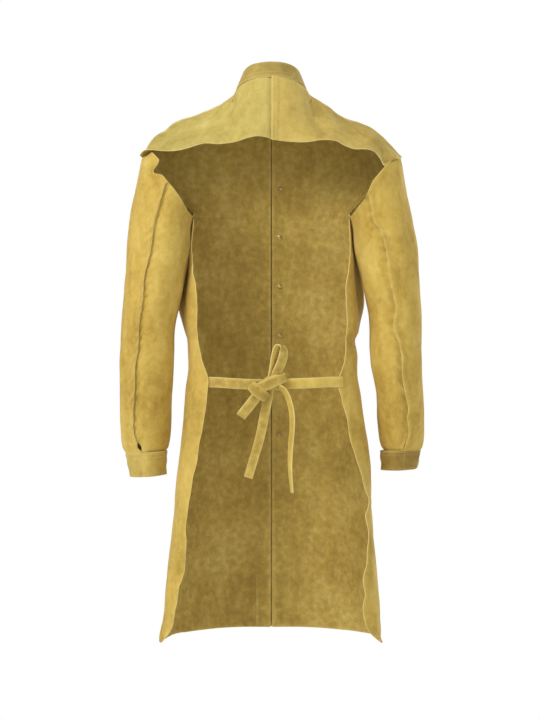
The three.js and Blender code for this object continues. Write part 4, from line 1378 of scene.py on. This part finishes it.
def add_knot():
    shape = knot_shape()
    rows, cols = 34, 56
    u, v = np.meshgrid(np.linspace(0, 1, cols, endpoint=False), np.linspace(0, 1, rows))
    grid = shape(u, v)
    grid = grid + small(grid)[..., None] * np.array([0, 0.6, 0.2])
    verts = grid.reshape(-1, 3)
    ends = np.array([grid[0].mean(axis=0), grid[-1].mean(axis=0)])
    first, last = len(verts), len(verts) + 1
    faces = grid_quads(rows, cols, wrap=True).tolist()
    faces += [(i, first, (i + 1) % cols) for i in range(cols)]
    base = (rows - 1) * cols
    faces += [(base + (i + 1) % cols, last, base + i) for i in range(cols)]
    verts = np.concatenate([verts, ends])
    if volume_of(verts, faces) < 0:
        faces = [tuple(reversed(f)) for f in faces]
    piece = new_object("bow_knot_leather", verts, faces, strap_hide)
    finish_piece(piece, "coat", "bow_knot")


def drawn_in(share):
    return 0.58 + 0.42 * np.sin(math.pi * np.clip(share, 0, 1)) ** 0.6


def knot_wrap(name, points, across, width):
    """A strap's visible turn over the knot, narrower at both ends."""
    piece, rows, _, length = add_strap(name, points, [across, across], width, TAIL_HIDE, squeeze=drawn_in)
    bow_rows.extend(rows[:1])


add_knot()
knot_wrap("bow_wrap_upper",
          [(-24, 39, -598), (-28, 44, -600), (-22, 50.5, -603), (-10, 55, -607), (4, 57, -613),
           (18, 56, -618.5), (29, 52, -623), (35, 46, -626), (35, 40, -627)], (0.42, 0, 0.9), 18.5)
knot_wrap("bow_wrap_lower",
          [(40, 41, -613), (40.5, 48, -615.5), (35, 54, -621.5), (26, 56.5, -629), (16, 54, -636.5),
           (10, 47, -641), (9, 40, -642)], (0.64, 0, -0.77), 21.0)
stitches("bow_stitches", bow_rows, "coat", pitch=3.6, length=2.8, width=0.6)


# ---------------------------------------------------------------- front flap and snaps
FLAP_HALF = 31.0
FLAP_TOP = -100.0
FLAP_FOOT = HEM + FRONT_HEM_RISE + 1.0
FLAP_ROOM = 4.9
FLAP_ROOT = (0.031, -0.194878, -0.6)      # where the flap starts to bend as it opens, in metres
FLAP_BEND_END = (0.014, -0.194878, -0.6)
FLAP_COLUMNS = 24
FLAP_ROWS = 149


def front_at(name, x, z):
    """The front's plain surface at a distance x from the middle and a height z."""
    surface = front_panel(name)
    x, z = np.broadcast_arrays(np.asarray(x, float), np.asarray(z, float))
    u = np.full(x.shape, 0.25)
    for _ in range(5):
        v_low, v_high = np.zeros(x.shape), np.full(x.shape, 2.0)
        for _ in range(18):
            v = (v_low + v_high) / 2
            above = surface(u, v)[..., 2] > z
            v_low, v_high = np.where(above, v, v_low), np.where(above, v_high, v)
        low, high = np.zeros(x.shape), np.full(x.shape, 0.5)
        for _ in range(16):
            u = (low + high) / 2
            short = surface(u, v)[..., 0] < x
            low, high = np.where(short, u, low), np.where(short, high, u)
    return surface(u, v)


flap_us = spaced(-1, 1, 2 * FLAP_HALF, 3.0)
flap_vs = spaced(0, 1, FLAP_TOP - FLAP_FOOT, 4.6)
flap_wave = dents(71, 110, 0.6, upright=2.0)


def make_flap_surface():
    """The panels' own depth, looked up on a grid; the right half mirrors the left."""
    grid_u, grid_v = np.meshgrid(np.linspace(-1, 1, FLAP_COLUMNS + 1), np.linspace(0, 1, FLAP_ROWS + 1))
    x = np.abs(grid_u) * FLAP_HALF
    z = FLAP_TOP + (FLAP_FOOT - FLAP_TOP) * grid_v
    depth = front_at("left", np.maximum(x, FRONT_GAP), z)[..., 1]

    def at(u, v):
        u, v = np.broadcast_arrays(np.asarray(u, float), np.asarray(v, float))
        column = np.clip((u + 1) / 2 * FLAP_COLUMNS, 0, FLAP_COLUMNS - 0.001)
        row = np.clip(v * FLAP_ROWS, 0, FLAP_ROWS - 0.001)
        i, j = column.astype(int), row.astype(int)
        a, b = column - i, row - j
        upper = depth[j, i] * (1 - a) + depth[j, i + 1] * a
        lower = depth[j + 1, i] * (1 - a) + depth[j + 1, i + 1] * a
        y = upper * (1 - b) + lower * b
        return np.stack([u * FLAP_HALF, y, FLAP_TOP + (FLAP_FOOT - FLAP_TOP) * v], axis=-1)
    return at


def flap_extra(u, v, place):
    """Sewn down along the wearer's left edge and a stud's height off the panels elsewhere."""
    sewn = smooth(14, 27, place[..., 0])
    loose = smooth(FRONT_GAP, 16, -place[..., 0]) * smooth(0.62, 1.0, v)
    return FLAP_ROOM - 3.2 * sewn + flap_wave(place) * (0.4 + 2.0 * loose) * (1 - sewn) + 1.5 * loose


flap = worn(make_flap_surface(), BODY_PLACE, flap_extra, lambda place: 0.12)
flap_bend = ("coat", "front_closure", FLAP_ROOT, FLAP_BEND_END)
piece = leather("front_flap_leather", flap, flap_us, flap_vs, hide, body=flap_bend, node="front_flap")
along = np.linspace(0.004, 0.996, 300)
flap_rows = [flap(np.full_like(along, edge), along, HIDE / 2) for edge in (0.9, 0.72, -0.9)]
across = np.linspace(-0.9, 0.9, 20)
flap_rows += [flap(across, np.full_like(across, 0.003), HIDE / 2)]
stitches("front_flap_stitches", flap_rows, flap_bend)


def snap_frame(node):
    """The middle of a snap's flange and the way it faces, from its CAD solid."""
    verts = np.array([v.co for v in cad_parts[node].data.vertices]) / MM
    middle = verts.mean(axis=0)
    values, vectors = np.linalg.eigh(np.cov((verts - middle).T))
    odd = 0 if values[1] - values[0] > values[2] - values[1] else 2
    facing = vectors[:, odd]
    if "collar" in node and facing @ (middle - NECK_PLACE) < 0 or "collar" not in node and facing[1] > 0:
        facing = -facing
    away = (verts - middle) @ facing
    return middle + facing * away.min(), facing


def turned(name, outline, place, facing, material, segments=32):
    """A turned metal piece: outline is (radius, height) from its foot, closed on its own axis."""
    side = unit(np.cross(facing, np.array([0.0, 0.3, 1.0])))
    other = np.cross(facing, side)
    angle = np.linspace(0, 2 * np.pi, segments, endpoint=False)
    ring = np.cos(angle)[:, None] * side + np.sin(angle)[:, None] * other
    verts = [place + facing * outline[0][1]]
    for radius, height in outline[1:-1]:
        verts.extend(place + facing * height + ring * radius)
    verts.append(place + facing * outline[-1][1])
    levels = len(outline) - 2
    last = 1 + levels * segments
    faces = []
    for i in range(segments):
        after = (i + 1) % segments
        faces.append((0, 1 + after, 1 + i))
        for level in range(levels - 1):
            a = 1 + level * segments
            faces.append((a + i, a + after, a + segments + after, a + segments + i))
        a = 1 + (levels - 1) * segments
        faces.append((a + i, a + after, last))
    verts = np.array(verts)
    if volume_of(verts, faces) < 0:
        faces = [tuple(reversed(f)) for f in faces]
    return new_object(name, verts, faces, material)


POST = [(0, 0), (4.6, 0), (5, 0.25), (5, 0.6), (1.8, 0.6), (1.8, 2.9)]
CAP_OUTLINE = POST + [(6.2, 2.9), (6.6, 3.15), (6.6, 3.5), (6.3, 3.75), (5.6, 3.72), (5.2, 3.85), (4.6, 4.35),
                      (3.2, 4.75), (1.6, 4.92), (0, 4.95)]
STUD_OUTLINE = POST + [(4.8, 2.9), (5, 3.1), (5, 3.4), (3.0, 3.5), (2.2, 3.6), (1.95, 4.0), (2.1, 4.4),
                       (1.8, 4.7), (0.8, 4.85), (0, 4.85)]


def add_snap(node, name, closure):
    """Both halves of a snap. The braces in its names stand for the half."""
    for kind, outline, carrier in (("stud", STUD_OUTLINE, "coat"), ("cap", CAP_OUTLINE, closure)):
        place, facing = snap_frame(node.format(kind))
        half = turned(name.format(kind), outline, place, facing, brass)
        finish_piece(half, carrier, node.format(kind))


for index in range(1, 7):
    add_snap(f"front_snap_{{}}_{index}", f"turned_{{}}_{index}", "front_closure")
add_snap("collar_snap_{}", "turned_collar_{}", "throat_closure")
stitches("seam_stitches", seam_rows, "coat")
